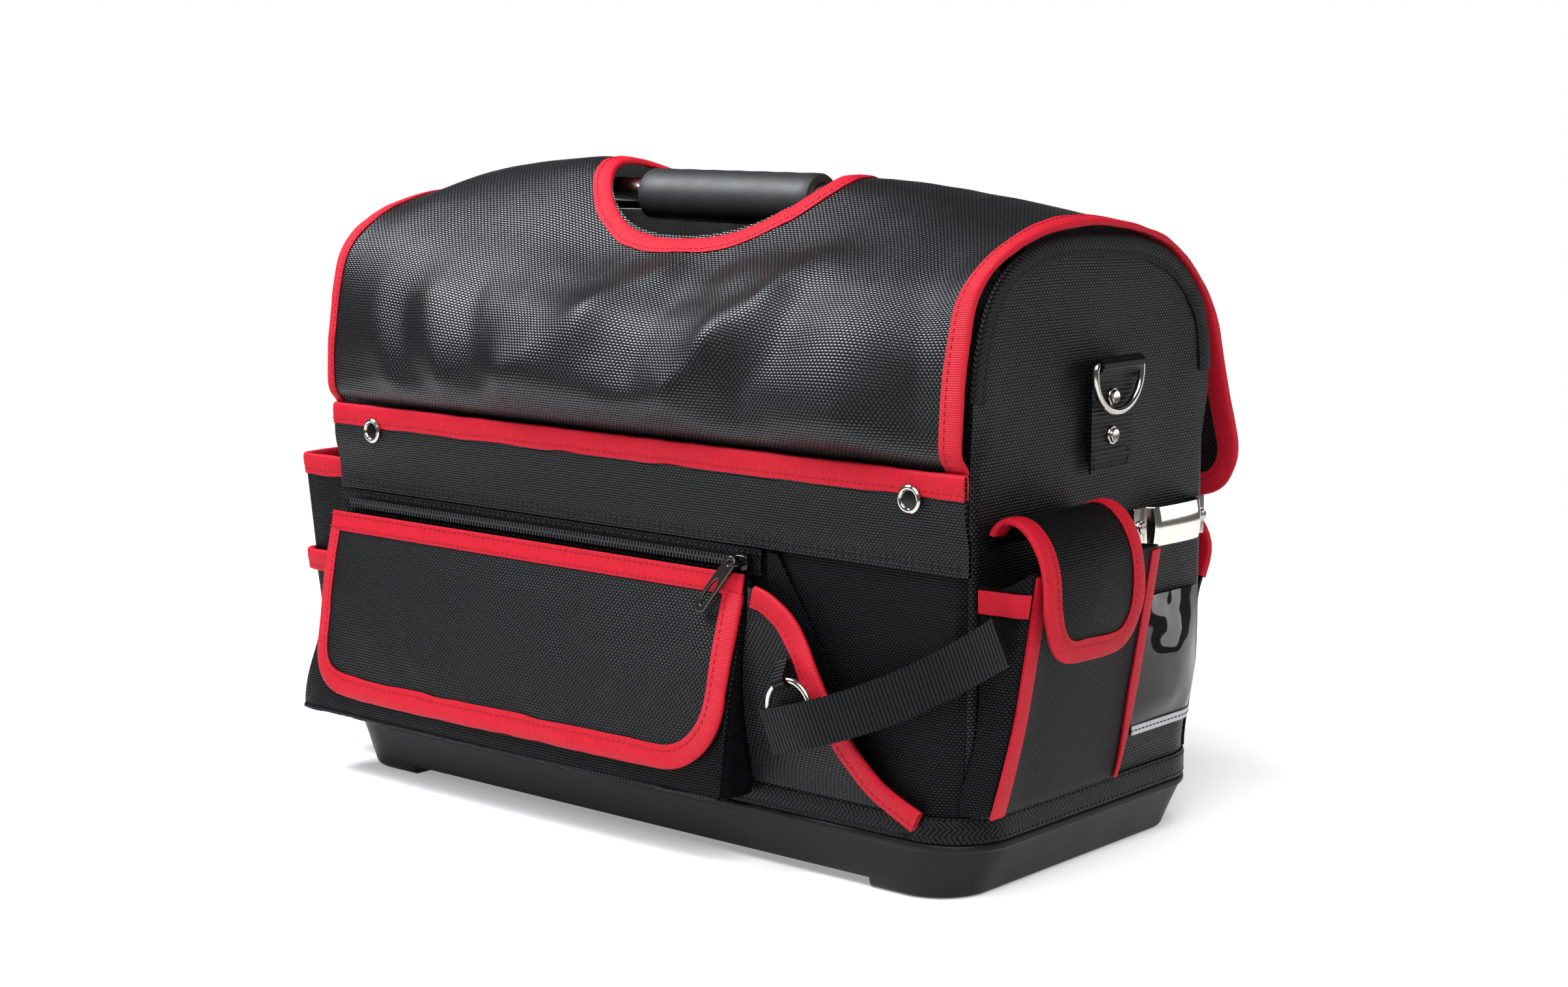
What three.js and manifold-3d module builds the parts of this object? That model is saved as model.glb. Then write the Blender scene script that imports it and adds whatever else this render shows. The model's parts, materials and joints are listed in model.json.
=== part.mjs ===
// A hard-based tool bag with a loose cover over a tube handle.
// Millimetres, +X along the bag's length, the front faces -Y, +Z up.
import * as THREE from "three";
import { mergeVertices } from "three/addons/utils/BufferGeometryUtils.js";
import Module from "manifold-3d";

const wasm = await Module();
wasm.setup();

// Driving dimensions
const HALF_LENGTH = 245;
const HALF_DEPTH = 112;
const CLOTH = 2;
const THIN_CLOTH = 1.6;
const GAP = 0.3;
const TAPE = 1;
const BIND_WIDTH = 11;
const ARCH = { foot: 235, rise: 111, power: 3 };
const BASE = {
  height: 32, step: 5.5, stepHalf: 180, floor: 9, centreY: 2, collarTop: 46,
  footX: 234.6, footY: 112.2, footRadius: 32, rimX: 248, rimY: 117, rimRadius: 38, lip: 1.5,
};
const FOOT = { halfY: 113.5, radius: 34, cornerRadius: 9, blendBottom: 48, blendTop: 110 };
const BAND = {
  top: 227, topY: -118.4, bottom: 176, footY: -114.5, left: -243.5, right: 247.5,
  rivetLeft: -206, rivetRight: 213.5, rivetZ: 214, rivetRadius: 7.5,
};
const PANEL_TOP = 226;
const HANDLE = {
  y: -5, z: 357, radius: 9.75, bend: 90, legX: 218, gripX: -7, gripLength: 134, gripRadius: 15.5,
};
const HOLE = { x: -9, y: -5, halfX: 92, halfY: 50, sides: 28 };
const ZIP = { z: 167, left: -233, right: 90, tape: 16, tapeRight: 108, chain: 5, chainDepth: 2.2 };
const POCKET = { left: -243.5, right: 101, top: 158, bottom: 40, back: -113.9, footBack: -115.7 };
const FLAP = { left: -244, right: 100, top: 158, bottom: 51, corner: 36 };
const STRAP = { width: 27, thickness: 2, slope: 25 };
const D_RING = { y: 9, barZ: 276, barX: 253.4, wire: 2, width: 40, drop: 5 };
const POUCH = {
  front: -100, rear: 13, top: 180, bottom: 48.5, depthTop: 30, depthBottom: 5,
  gussetY: -104.5, gussetTop: 171,
};
const POUCH_FLAP = { front: -84, rear: 2, bottom: 128, corner: 30 };
const WINDOW = { front: 37, rear: 103, bottom: 66, top: 142 };
const LEFT_POCKET = { front: -105, rear: 105, top: 190, bottom: 48, depthTop: 40, depthBottom: 20 };
const BACK_POCKET = { half: 238, top: 186, bottom: 47, corner: 34, sag: 11 };
const LEAN = { by: 8, from: 47, to: 92 };

// Colours
const BLACK_CLOTH = 0x1f1f22;
const RED_TAPE = 0xd8203a;
const NICKEL = 0xc9c2b8;
const PLASTIC = 0x2c2a2b;

const vec = (x, y, z) => new THREE.Vector3(x, y, z);
const lerp = THREE.MathUtils.lerp;
const clamp = THREE.MathUtils.clamp;
const smooth = (t) => THREE.MathUtils.smoothstep(t, 0, 1);
const radians = THREE.MathUtils.degToRad;
const range = (n, f) => Array.from({ length: n }, (_, i) => f(i));
const spread = (from, to, n) => range(n, (i) => lerp(from, to, i / (n - 1)));

const bag = new THREE.Group();

function addPiece(name, geometry, colour, roughness = 0.85, metalness = 0) {
  const material = new THREE.MeshStandardMaterial({ color: colour, roughness, metalness });
  const mesh = new THREE.Mesh(geometry, material);
  mesh.name = name;
  bag.add(mesh);
  return mesh;
}

// A geometry from points and triangles, turned so that its faces point out.
function closedGeometry(points, index) {
  let volume = 0;
  for (let i = 0; i < index.length; i += 3) {
    const [a, b, c] = [points[index[i]], points[index[i + 1]], points[index[i + 2]]];
    volume += a.dot(b.clone().cross(c));
  }
  if (volume < 0) index.reverse();
  const geometry = new THREE.BufferGeometry().setFromPoints(points);
  return geometry.setIndex(index);
}

// Four-cornered faces between two closed or open rows of point numbers.
function strip(index, lower, upper, closed) {
  const last = closed ? lower.length : lower.length - 1;
  for (let k = 0; k < last; k++) {
    const n = (k + 1) % lower.length;
    index.push(lower[k], lower[n], upper[n], lower[k], upper[n], upper[k]);
  }
}

// A wall of even thickness about a grid of points. A wrapped grid closes on itself along its rows.
function wall(grid, thickness, wrapped = false) {
  const rows = grid.length;
  const columns = grid[0].length;
  const column = (j) => (wrapped ? (j + columns) % columns : clamp(j, 0, columns - 1));
  const at = (i, j) => grid[clamp(i, 0, rows - 1)][column(j)];
  const points = [];
  for (const side of [0.5, -0.5])
    for (let i = 0; i < rows; i++)
      for (let j = 0; j < columns; j++) {
        const across = at(i, j + 1).clone().sub(at(i, j - 1));
        const along = at(i + 1, j).clone().sub(at(i - 1, j));
        const normal = across.cross(along).normalize();
        points.push(at(i, j).clone().addScaledVector(normal, side * thickness));
      }
  const outer = (i) => range(columns, (j) => i * columns + j);
  const inner = (i) => range(columns, (j) => (rows + i) * columns + j);
  const index = [];
  for (let i = 0; i < rows - 1; i++) {
    strip(index, outer(i), outer(i + 1), wrapped);
    strip(index, inner(i + 1), inner(i), wrapped);
  }
  strip(index, inner(0), outer(0), wrapped);
  strip(index, outer(rows - 1), inner(rows - 1), wrapped);
  if (!wrapped)
    for (let i = 0; i < rows - 1; i++) {
      strip(index, [outer(i)[0], outer(i + 1)[0]], [inner(i)[0], inner(i + 1)[0]], false);
      const end = columns - 1;
      strip(index, [inner(i)[end], inner(i + 1)[end]], [outer(i)[end], outer(i + 1)[end]], false);
    }
  return closedGeometry(points, index);
}

// A solid through rings of points. An open one gets end faces.
function loft(rings, closed = false, capOutline = null) {
  const sides = rings[0].length;
  const ids = (i) => range(sides, (k) => (i % rings.length) * sides + k);
  const index = [];
  const last = closed ? rings.length : rings.length - 1;
  for (let i = 0; i < last; i++) strip(index, ids(i), ids(i + 1), true);
  if (!closed) {
    const fan = range(sides - 2, (k) => [0, k + 1, k + 2]);
    const faces = capOutline ? THREE.ShapeUtils.triangulateShape(capOutline, []) : fan;
    for (const [a, b, c] of faces) {
      const turn = capOutline ? turnOf(capOutline[a], capOutline[b], capOutline[c]) : 1;
      const [p, q] = turn > 0 ? [b, c] : [c, b];
      index.push(ids(0)[a], ids(0)[q], ids(0)[p]);
      index.push(ids(rings.length - 1)[a], ids(rings.length - 1)[p], ids(rings.length - 1)[q]);
    }
  }
  return closedGeometry(rings.flat(), index);
}

const turnOf = (a, b, c) => (b.x - a.x) * (c.y - a.y) - (b.y - a.y) * (c.x - a.x);

// A surface point, its unit normal and its slopes at the place (a, b) of a sheet's own two coordinates.
function surfaceFrame(surface, a, b) {
  const step = 0.01;
  const alongA = surface(a + step, b).sub(surface(a - step, b)).divideScalar(2 * step);
  const alongB = surface(a, b + step).sub(surface(a, b - step)).divideScalar(2 * step);
  const normal = alongA.clone().cross(alongB).normalize();
  return { point: surface(a, b), alongA, alongB, normal };
}

// A folded tape round a sheet's edge. The route gives places on the edge and the way into the sheet at each.
function edgeTape(surface, route, sheetThickness, options = {}) {
  const { width = BIND_WIDTH, clearance = 0.5, closed = false } = options;
  const near = sheetThickness / 2 + clearance;
  const far = near + TAPE;
  const rings = route.map(({ a, b, inA, inB }) => {
    const edge = surfaceFrame(surface, a, b);
    const slope = edge.alongA.clone().multiplyScalar(inA).addScaledVector(edge.alongB, inB);
    const reach = width / slope.length();
    const inside = surfaceFrame(surface, a + inA * reach, b + inB * reach);
    const inward = slope.normalize();
    const rim = (back, height) =>
      edge.point.clone().addScaledVector(inward, -back).addScaledVector(edge.normal, height);
    const leg = (height) => inside.point.clone().addScaledVector(inside.normal, height);
    return [
      rim(clearance + TAPE, -far), leg(-far), leg(-near), rim(clearance, -near),
      rim(clearance, near), leg(near), leg(far), rim(clearance + TAPE, far),
    ];
  });
  const outline = [[-2, -3], [9, -3], [9, -2], [-1, -2], [-1, 2], [9, 2], [9, 3], [-2, 3]];
  return loft(rings, closed, outline.map(([x, y]) => new THREE.Vector2(x, y)));
}

// A flat strap along a path, with its width along the given directions.
function strapWall(path, widthAt, width, thickness) {
  const grid = path.map((p, i) => {
    const side = widthAt(i).clone().normalize();
    return [-0.5, 0.5].map((s) => p.clone().addScaledVector(side, s * width));
  });
  return wall(grid, thickness);
}

// A round bar along a path that lies in one plane.
function barAlong(path, planeNormal, radius, sides, closed = false) {
  const n = path.length;
  const rings = path.map((p, i) => {
    const before = path[closed ? (i + n - 1) % n : Math.max(i - 1, 0)];
    const after = path[closed ? (i + 1) % n : Math.min(i + 1, n - 1)];
    const side = planeNormal.clone().cross(after.clone().sub(before)).normalize();
    return range(sides, (k) => {
      const angle = (2 * Math.PI * k) / sides;
      const offset = side.clone().multiplyScalar(radius * Math.cos(angle));
      return p.clone().add(offset).addScaledVector(planeNormal, radius * Math.sin(angle));
    });
  });
  return loft(rings, closed);
}

// A turned piece from rows of radius and height, with its axis along the given direction.
function turned(profile, place, direction, sides = 10) {
  const outline = profile.map(([radius, height]) => new THREE.Vector2(radius, height));
  const geometry = new THREE.LatheGeometry(outline, sides);
  const turn = new THREE.Quaternion().setFromUnitVectors(vec(0, 1, 0), direction);
  return geometry.applyQuaternion(turn).translate(place.x, place.y, place.z);
}

function solidOf(geometry) {
  const bare = geometry.clone();
  bare.deleteAttribute("normal");
  bare.deleteAttribute("uv");
  const merged = mergeVertices(bare, 1e-4);
  const vertProperties = new Float32Array(merged.attributes.position.array);
  const triVerts = new Uint32Array(merged.index.array);
  return new wasm.Manifold(new wasm.Mesh({ numProp: 3, vertProperties, triVerts }));
}

function geometryOf(solid) {
  const { vertProperties, triVerts, numProp } = solid.getMesh();
  const geometry = new THREE.BufferGeometry();
  geometry.setAttribute("position", new THREE.BufferAttribute(vertProperties, numProp));
  return geometry.setIndex(new THREE.BufferAttribute(triVerts, 1));
}

const cut = (body, ...tools) =>
  geometryOf(tools.reduce((left, tool) => left.subtract(solidOf(tool)), solidOf(body)));

function boxBetween(low, high) {
  const size = high.clone().sub(low);
  const middle = low.clone().add(high).multiplyScalar(0.5);
  return new THREE.BoxGeometry(size.x, size.y, size.z).translate(middle.x, middle.y, middle.z);
}

// A smooth curve through table rows, read at a fractional row number.
function through(values, s) {
  const last = values.length - 1;
  const i = clamp(Math.floor(s), 0, last - 1);
  const t = s - i;
  const [p, q, r, u] = [i - 1, i, i + 1, i + 2].map((k) => values[clamp(k, 0, last)]);
  const bend = (2 * p - 5 * q + 4 * r - u) * t * t + (3 * q - p - 3 * r + u) * t * t * t;
  return q + ((r - p) * t + bend) / 2;
}

// Base tub
function roundedRing(halfX, halfY, radius, z, steps = 5) {
  const corners = [[1, -1, -90], [1, 1, 0], [-1, 1, 90], [-1, -1, 180]];
  return corners.flatMap(([sx, sy, start]) =>
    range(steps + 1, (k) => {
      const angle = radians(start + (90 * k) / steps);
      const x = sx * (halfX - radius) + radius * Math.cos(angle);
      const y = BASE.centreY + sy * (halfY - radius) + radius * Math.sin(angle);
      return vec(x, y, z);
    }));
}

const COLLAR_INSET = CLOTH / 2 + GAP;
const COLLAR = {
  x: HALF_LENGTH - COLLAR_INSET, y: FOOT.halfY - COLLAR_INSET, radius: FOOT.radius - COLLAR_INSET, wall: 2.2,
};

function baseTub() {
  const { footX, footY, footRadius, rimX, rimY, rimRadius, lip, height, floor, collarTop } = BASE;
  const rounded = 2.5;
  const lipBottom = height - 5;
  const outer = loft([
    roundedRing(footX - rounded, footY - rounded, footRadius - rounded, 0),
    roundedRing(footX, footY, footRadius, rounded),
    roundedRing(rimX - lip, rimY - lip, rimRadius, lipBottom),
    roundedRing(rimX, rimY, rimRadius, lipBottom + lip),
    roundedRing(rimX, rimY, rimRadius, height - lip),
    roundedRing(rimX - lip, rimY - lip, rimRadius, height),
    roundedRing(COLLAR.x, COLLAR.y, COLLAR.radius, height),
    roundedRing(COLLAR.x, COLLAR.y, COLLAR.radius, collarTop),
  ]);
  const insideX = COLLAR.x - COLLAR.wall;
  const insideY = COLLAR.y - COLLAR.wall;
  const insideRadius = COLLAR.radius - COLLAR.wall;
  const inner = loft([
    roundedRing(footX - 4, footY - 4, footRadius - 3, floor),
    roundedRing(insideX, insideY, insideRadius, lipBottom),
    roundedRing(insideX, insideY, insideRadius, collarTop + 1),
  ]);
  const recess = boxBetween(vec(-BASE.stepHalf, -150, -1), vec(BASE.stepHalf, 150, BASE.step));
  return cut(outer, inner, recess);
}
addPiece("base_tub", baseTub(), PLASTIC, 0.6);

// Cloth walls
function wallSection(z) {
  const k = smooth((z - FOOT.blendBottom) / (FOOT.blendTop - FOOT.blendBottom));
  return {
    halfY: lerp(FOOT.halfY, HALF_DEPTH, k),
    radius: lerp(FOOT.radius, FOOT.cornerRadius, k),
    centreY: lerp(BASE.centreY, 0, k),
  };
}

// Points round a corner of the wall between two angles.
function cornerPoints(signX, signY, from, to, z, steps, outset = 0) {
  const { halfY, radius, centreY } = wallSection(z);
  return spread(from, to, steps).map((angle) => {
    const turn = radians(angle);
    const x = signX * (HALF_LENGTH - radius) + (radius + outset) * Math.cos(turn);
    const y = centreY + signY * (halfY - radius) + (radius + outset) * Math.sin(turn);
    return vec(x, y, z);
  });
}

const SEAM_ANGLE = 6;
const CORNER_STEPS = 4;
const WALL_ROWS = [33, 48, 66, 88, 110, PANEL_TOP];

function longPanel(side) {
  const grid = WALL_ROWS.map((z) => {
    const left = cornerPoints(-1, -1, 225 + SEAM_ANGLE, 270, z, CORNER_STEPS);
    const right = cornerPoints(1, -1, 270, 315 - SEAM_ANGLE, z, CORNER_STEPS);
    const row = [...left, ...right];
    if (side > 0) {
      const back = wallSection(z).centreY;
      for (const p of row) p.y = 2 * back - p.y;
    }
    return row;
  });
  return wall(grid, CLOTH);
}
addPiece("front_panel", longPanel(-1), BLACK_CLOTH);
addPiece("back_panel", longPanel(1), BLACK_CLOTH);

// The arch of an end panel, by the angle up from its foot.
function archPoint(angle, outset = 0) {
  const power = 2 / ARCH.power;
  const turn = radians(angle);
  return {
    y: (HALF_DEPTH + outset) * Math.cos(turn) ** power,
    z: ARCH.foot + (ARCH.rise + outset) * Math.sin(turn) ** power,
  };
}

const ARCH_ROWS = [16, 31, 45, 59, 73, 86];

function endPanel(side) {
  const across = 1;
  const lower = WALL_ROWS.map((z) => {
    const front = cornerPoints(1, -1, 315 + SEAM_ANGLE, 360, z, CORNER_STEPS);
    const rear = cornerPoints(1, 1, 0, 45 - SEAM_ANGLE, z, CORNER_STEPS);
    const between = spread(front[CORNER_STEPS - 1].y, rear[0].y, across + 2).slice(1, -1);
    return [...front, ...between.map((y) => vec(HALF_LENGTH, y, z)), ...rear];
  });
  const columns = lower[0].length;
  const upper = ARCH_ROWS.map((angle) => {
    const { y, z } = archPoint(angle);
    return spread(-y, y, columns).map((place) => vec(HALF_LENGTH, place, z));
  });
  const grid = [...lower, ...upper].map((row) => row.map((p) => vec(side * p.x, p.y, p.z)));
  return wall(grid, CLOTH);
}

const endSurface = (side) => (y, z) => vec(side * HALF_LENGTH, y, z);

// The free edge of an end panel, from the band at the front over the arch to the back panel.
function archRoute() {
  const place = (angle, sign) => {
    const { y, z } = archPoint(angle);
    const lift = (y / HALF_DEPTH) ** (ARCH.power - 1);
    const rise = ((z - ARCH.foot) / ARCH.rise) ** (ARCH.power - 1);
    return { a: sign * y, b: z, inA: -sign * lift, inB: -rise };
  };
  const front = ARCH_ROWS.map((angle) => place(angle, -1));
  const rear = ARCH_ROWS.map((angle) => place(angle, 1)).reverse();
  return [...front, ...rear];
}

for (const [name, side] of [["right", 1], ["left", -1]]) {
  addPiece(`end_panel_${name}`, endPanel(side), BLACK_CLOTH);
  const tape = edgeTape(endSurface(side), archRoute(), CLOTH, { width: 9, clearance: 0.35 });
  addPiece(`end_tape_${name}`, tape, BLACK_CLOTH);
}

// Tape round the foot of the cloth
const FOOT_TAPE = { bottom: 32.5, top: 46.5, thickness: 1.2 };

function footTape() {
  const outset = CLOTH / 2 + 2 * GAP + FOOT_TAPE.thickness / 2;
  const grid = [FOOT_TAPE.bottom, FOOT_TAPE.top].map((z) =>
    [[1, -1, 270], [1, 1, 0], [-1, 1, 90], [-1, -1, 180]].flatMap(([sx, sy, start]) =>
      cornerPoints(sx, sy, start, start + 90, z, 8, outset)));
  return wall(grid, FOOT_TAPE.thickness, true);
}
addPiece("foot_tape", footTape(), BLACK_CLOTH);

// Cover: a row of the table for each line along the bag, at the ends and in the middle
const COVER_ROWS = [
  { name: "hem", endY: -114.6, endZ: 214, midY: -114.6, midZ: 214 },
  { name: "under band", endY: -114.7, endZ: 229, midY: -114.7, midZ: 229 },
  { name: "roll", endY: -120.5, endZ: 238, midY: -124, midZ: 237 },
  { name: "belly", endY: -121, endZ: 252, midY: -129, midZ: 250 },
  { name: "chest", endY: -119.5, endZ: 272, midY: -127, midZ: 270 },
  { name: "brow", endY: -114.5, endZ: 299, midY: -114, midZ: 294 },
  { name: "slope", endY: -104.5, endZ: 321, midY: -90, midZ: 311 },
  { name: "rise", endY: -83, endZ: 338, midY: -63, midZ: 328 },
  { name: "crown", endY: -52, endZ: 348.5, midY: -38, midZ: 351 },
  { name: "lip", endY: -24, endZ: 352.5, midY: -20, midZ: 367 },
  { name: "top", endY: -3, endZ: 354, midY: -5, midZ: 373.5 },
  { name: "ridge", endY: 18, endZ: 353.5, midY: 12, midZ: 373 },
  { name: "back lip", endY: 48, endZ: 349.5, midY: 34, midZ: 365 },
  { name: "back crown", endY: 79, endZ: 339, midY: 62, midZ: 346 },
  { name: "back rise", endY: 103, endZ: 319, midY: 90, midZ: 323 },
  { name: "back brow", endY: 120, endZ: 289, midY: 113, midZ: 292 },
  { name: "back chest", endY: 134, endZ: 250, midY: 134, midZ: 252 },
  { name: "back belly", endY: 147, endZ: 216, midY: 148, midZ: 218 },
  { name: "back hem", endY: 151, endZ: 191, midY: 152, midZ: 188 },
];
const COVER = {
  halfLength: 244.5, thickness: 1.6, power: 2.6, corner: 34, rowLength: 26, lastRow: COVER_ROWS.length - 1,
};

// Folds of the loose cloth: a line from (x, row) to (x, row), how wide it is and how far it stands out
const COVER_FOLDS = [
  { x0: -16, row0: 6.6, x1: -64, row1: 4.2, width: 20, out: 5 },
  { x0: -64, row0: 4.2, x1: 45, row1: 3.3, width: 18, out: 4 },
  { x0: -100, row0: 5.2, x1: -120, row1: 2.6, width: 22, out: -5 },
  { x0: -165, row0: 5.4, x1: -150, row1: 3, width: 22, out: 4 },
  { x0: 112, row0: 5.6, x1: 150, row1: 3, width: 20, out: 4.5 },
  { x0: 60, row0: 5, x1: 90, row1: 3, width: 22, out: -4 },
];
const ROW_STEP = 21;

function foldHeight(x, s) {
  let height = 0;
  for (const { x0, row0, x1, row1, width, out } of COVER_FOLDS) {
    const [dx, dy] = [x1 - x0, (row1 - row0) * ROW_STEP];
    const [px, py] = [x - x0, (s - row0) * ROW_STEP];
    const t = clamp((px * dx + py * dy) / (dx * dx + dy * dy), 0, 1);
    const away = Math.hypot(px - t * dx, py - t * dy);
    height += out * Math.exp(-((away / width) ** 2));
  }
  return height * smooth((s - 1.2) / 1.2);
}

const coverTable = (column) => COVER_ROWS.map((row) => row[column]);
const COVER_COLUMNS = {
  endY: coverTable("endY"), endZ: coverTable("endZ"), midY: coverTable("midY"), midZ: coverTable("midZ"),
};

function coverSurface(x, s) {
  const middle = Math.max(0, 1 - (Math.abs(x) / COVER.halfLength) ** COVER.power);
  const y = lerp(through(COVER_COLUMNS.endY, s), through(COVER_COLUMNS.midY, s), middle);
  const z = lerp(through(COVER_COLUMNS.endZ, s), through(COVER_COLUMNS.midZ, s), middle);
  const front = clamp((7 - s) / 4, 0, 1);
  const out = foldHeight(x, s);
  return vec(x, y - out * front, z + out * (1 - front));
}

// Half the cover's length at a row, with its rear corners rounded off.
function coverReach(s) {
  const fromHem = (COVER.lastRow - s) * COVER.rowLength;
  if (fromHem >= COVER.corner) return COVER.halfLength;
  const side = COVER.corner - fromHem;
  return COVER.halfLength - COVER.corner + Math.sqrt(COVER.corner ** 2 - side ** 2);
}

// The cover's row over a point of the plan.
function coverRowOver(x, y) {
  let [low, high] = [4, COVER.lastRow];
  for (let k = 0; k < 30; k++) {
    const middle = (low + high) / 2;
    if (coverSurface(x, middle).y < y) low = middle;
    else high = middle;
  }
  return low;
}

const coverPlan = (x, y) => coverSurface(x, coverRowOver(x, y));

const holePlace = (k) => {
  const angle = (2 * Math.PI * k) / HOLE.sides;
  return { x: HOLE.x + HOLE.halfX * Math.cos(angle), y: HOLE.y + HOLE.halfY * Math.sin(angle), angle };
};

// The rows at which the cover is drawn, closer together where it bends
const COVER_LINES = [
  0, 1, 1.4, 2, 3, 4, 5, 5.5, 6, 6.5, 7, 8, 9, 10, 11, 12, 13, 14, 15, 16, 17, 17.4, 17.7, 17.9, 18,
];

function coverPiece() {
  const columns = spread(-1, 1, 15);
  const grid = COVER_LINES.map((s) => columns.map((u) => coverSurface(u * coverReach(s), s)));
  const outline = new THREE.Shape(range(HOLE.sides, (k) => {
    const { x, y } = holePlace(k);
    return new THREE.Vector2(x, y);
  }));
  const punch = new THREE.ExtrudeGeometry(outline, { depth: 140, bevelEnabled: false });
  return cut(wall(grid, COVER.thickness), punch.translate(0, 0, 290));
}
addPiece("cover", coverPiece(), BLACK_CLOTH);

// The cover's edge from the band up over one end, round the rear hem and back over the other end.
function coverRoute() {
  const side = COVER_LINES.filter((s) => s > 1 && s <= 16);
  const right = side.map((s) => ({ a: COVER.halfLength, b: s, inA: -1, inB: 0 }));
  const corner = COVER_LINES.filter((s) => s > 16 && s < COVER.lastRow).map((s) => {
    const angle = Math.asin(1 - ((COVER.lastRow - s) * COVER.rowLength) / COVER.corner);
    return { a: coverReach(s), b: s, inA: -Math.cos(angle), inB: -Math.sin(angle) / COVER.rowLength };
  });
  const flat = COVER.halfLength - COVER.corner;
  const hem = spread(flat, -flat, 5).map((x) => ({ a: x, b: COVER.lastRow, inA: 0, inB: -1 }));
  const mirrored = (list) => list.map((p) => ({ ...p, a: -p.a, inA: -p.inA })).reverse();
  return [...right, ...corner, ...hem, ...mirrored(corner), ...mirrored(right)];
}
const coverTape = edgeTape(coverSurface, coverRoute(), COVER.thickness, { clearance: 1.3 });
addPiece("cover_binding", coverTape, RED_TAPE);

const holeRoute = range(HOLE.sides, (k) => {
  const { x, y, angle } = holePlace(k);
  const out = new THREE.Vector2(HOLE.halfY * Math.cos(angle), HOLE.halfX * Math.sin(angle)).normalize();
  return { a: x, b: y, inA: out.x, inB: out.y };
});
const holeTape = edgeTape(coverPlan, holeRoute, COVER.thickness, { width: 10, clearance: 1.9, closed: true });
addPiece("hole_binding", holeTape, RED_TAPE);

// Handle
function handlePath() {
  const { z, bend, legX, y } = HANDLE;
  const bendSteps = 6;
  const half = range(bendSteps + 1, (k) => {
    const angle = radians((90 * k) / bendSteps);
    return vec(legX - bend + bend * Math.sin(angle), y, z - bend + bend * Math.cos(angle));
  });
  const right = [...half, vec(legX, y, BASE.floor + GAP)];
  const left = right.map((p) => vec(-p.x, p.y, p.z)).reverse();
  return [...left, ...right];
}
addPiece("handle_frame", barAlong(handlePath(), vec(0, 1, 0), HANDLE.radius, 8), NICKEL, 0.25, 1);

function gripSleeve() {
  const inside = HANDLE.radius + GAP + 0.2;
  const half = HANDLE.gripLength / 2;
  const chamfer = 1.5;
  const profile = [
    [inside, -half], [HANDLE.gripRadius - chamfer, -half], [HANDLE.gripRadius, -half + chamfer],
    [HANDLE.gripRadius, half - chamfer], [HANDLE.gripRadius - chamfer, half], [inside, half], [inside, -half],
  ];
  return turned(profile, vec(HANDLE.gripX, HANDLE.y, HANDLE.z), vec(1, 0, 0), 14);
}
addPiece("handle_grip", gripSleeve(), 0x232325, 0.9);

// Front band
const BAND_ROWS = [BAND.bottom, 190, 200, 210, BAND.top];
const BAND_COLUMNS = [BAND.left, 0, BAND.right];
const bandSurface = (x, z) => vec(x, lerp(BAND.footY, BAND.topY, clamp((z - 190) / 20, 0, 1)), z);

const bandGrid = BAND_ROWS.map((z) => BAND_COLUMNS.map((x) => bandSurface(x, z)));
addPiece("front_band", wall(bandGrid, CLOTH), BLACK_CLOTH);

const bandRoute = BAND_COLUMNS.map((x) => ({ a: x, b: BAND.top, inA: 0, inB: -1 }));
addPiece("band_binding", edgeTape(bandSurface, bandRoute, CLOTH, { clearance: GAP }), RED_TAPE);

const RIVET_PROFILE = [[0, 0], [1, 0], [1, 1.2], [0.86, 1.9], [0.66, 1.9], [0.5, 1.2], [0.42, 1.4], [0, 1.4]];
const DOME_PROFILE = [[0, 0], [1, 0], [0.94, 1.2], [0.7, 2.2], [0.35, 2.7], [0, 2.8]];

function rivet(profile, radius, place, direction) {
  return turned(profile.map(([r, h]) => [r * radius, h]), place, direction);
}

for (const [name, x] of [["right", BAND.rivetRight], ["left", BAND.rivetLeft]]) {
  const place = vec(x, BAND.topY - CLOTH / 2 - 2 * GAP - TAPE, BAND.rivetZ);
  const stud = rivet(RIVET_PROFILE, BAND.rivetRadius, place, vec(0, -1, 0));
  addPiece(`band_rivet_${name}`, stud, NICKEL, 0.3, 1);
}

// Front zip pocket
function pocketDepth(x, z) {
  const down = clamp((POCKET.top - z) / (POCKET.top - POCKET.bottom), 0, 1);
  const depth = 3.2 + 26 * Math.sin((down * 0.86 * Math.PI) / 2) ** 1.1;
  const middle = (x - POCKET.left) / (POCKET.right - POCKET.left);
  return depth + 4 * Math.sin(Math.PI * clamp(middle, 0, 1)) * down;
}

const pocketFace = (x, z) => vec(x, POCKET.back - pocketDepth(x, z), z);

// A shallow tray of cloth: a face with its sides turned back to the wall behind it.
function trayGrid(face, columns, rows, backOf, round) {
  const turnBack = (place) => backOf(place).lerp(place, round);
  return rows.map((b) => {
    const front = columns.map((a) => face(a, b));
    const first = front[0];
    const last = front[front.length - 1];
    return [backOf(first), turnBack(first), ...front.slice(1, -1), turnBack(last), backOf(last)];
  });
}

function zipPocket() {
  const { left, right, top, bottom, back, footBack } = POCKET;
  const columns = [left, left + 7, ...spread(left + 60, right - 60, 5), right - 7, right];
  const rows = [top, 148, 130, 104, 76, 52, bottom + 3];
  const backAt = (z) => lerp(footBack, back, clamp((z - 48) / 16, 0, 1));
  const grid = trayGrid(pocketFace, columns, rows, (p) => vec(p.x, backAt(p.z), p.z), 0.82);
  const floor = grid[grid.length - 1].map((p) => vec(p.x, p.y * 0.985 - 1.2, bottom));
  const under = floor.map((p) => vec(p.x, footBack, bottom + 1.5));
  return wall([...grid, floor, under], THIN_CLOTH);
}
addPiece("zip_pocket", zipPocket(), BLACK_CLOTH);

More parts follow.
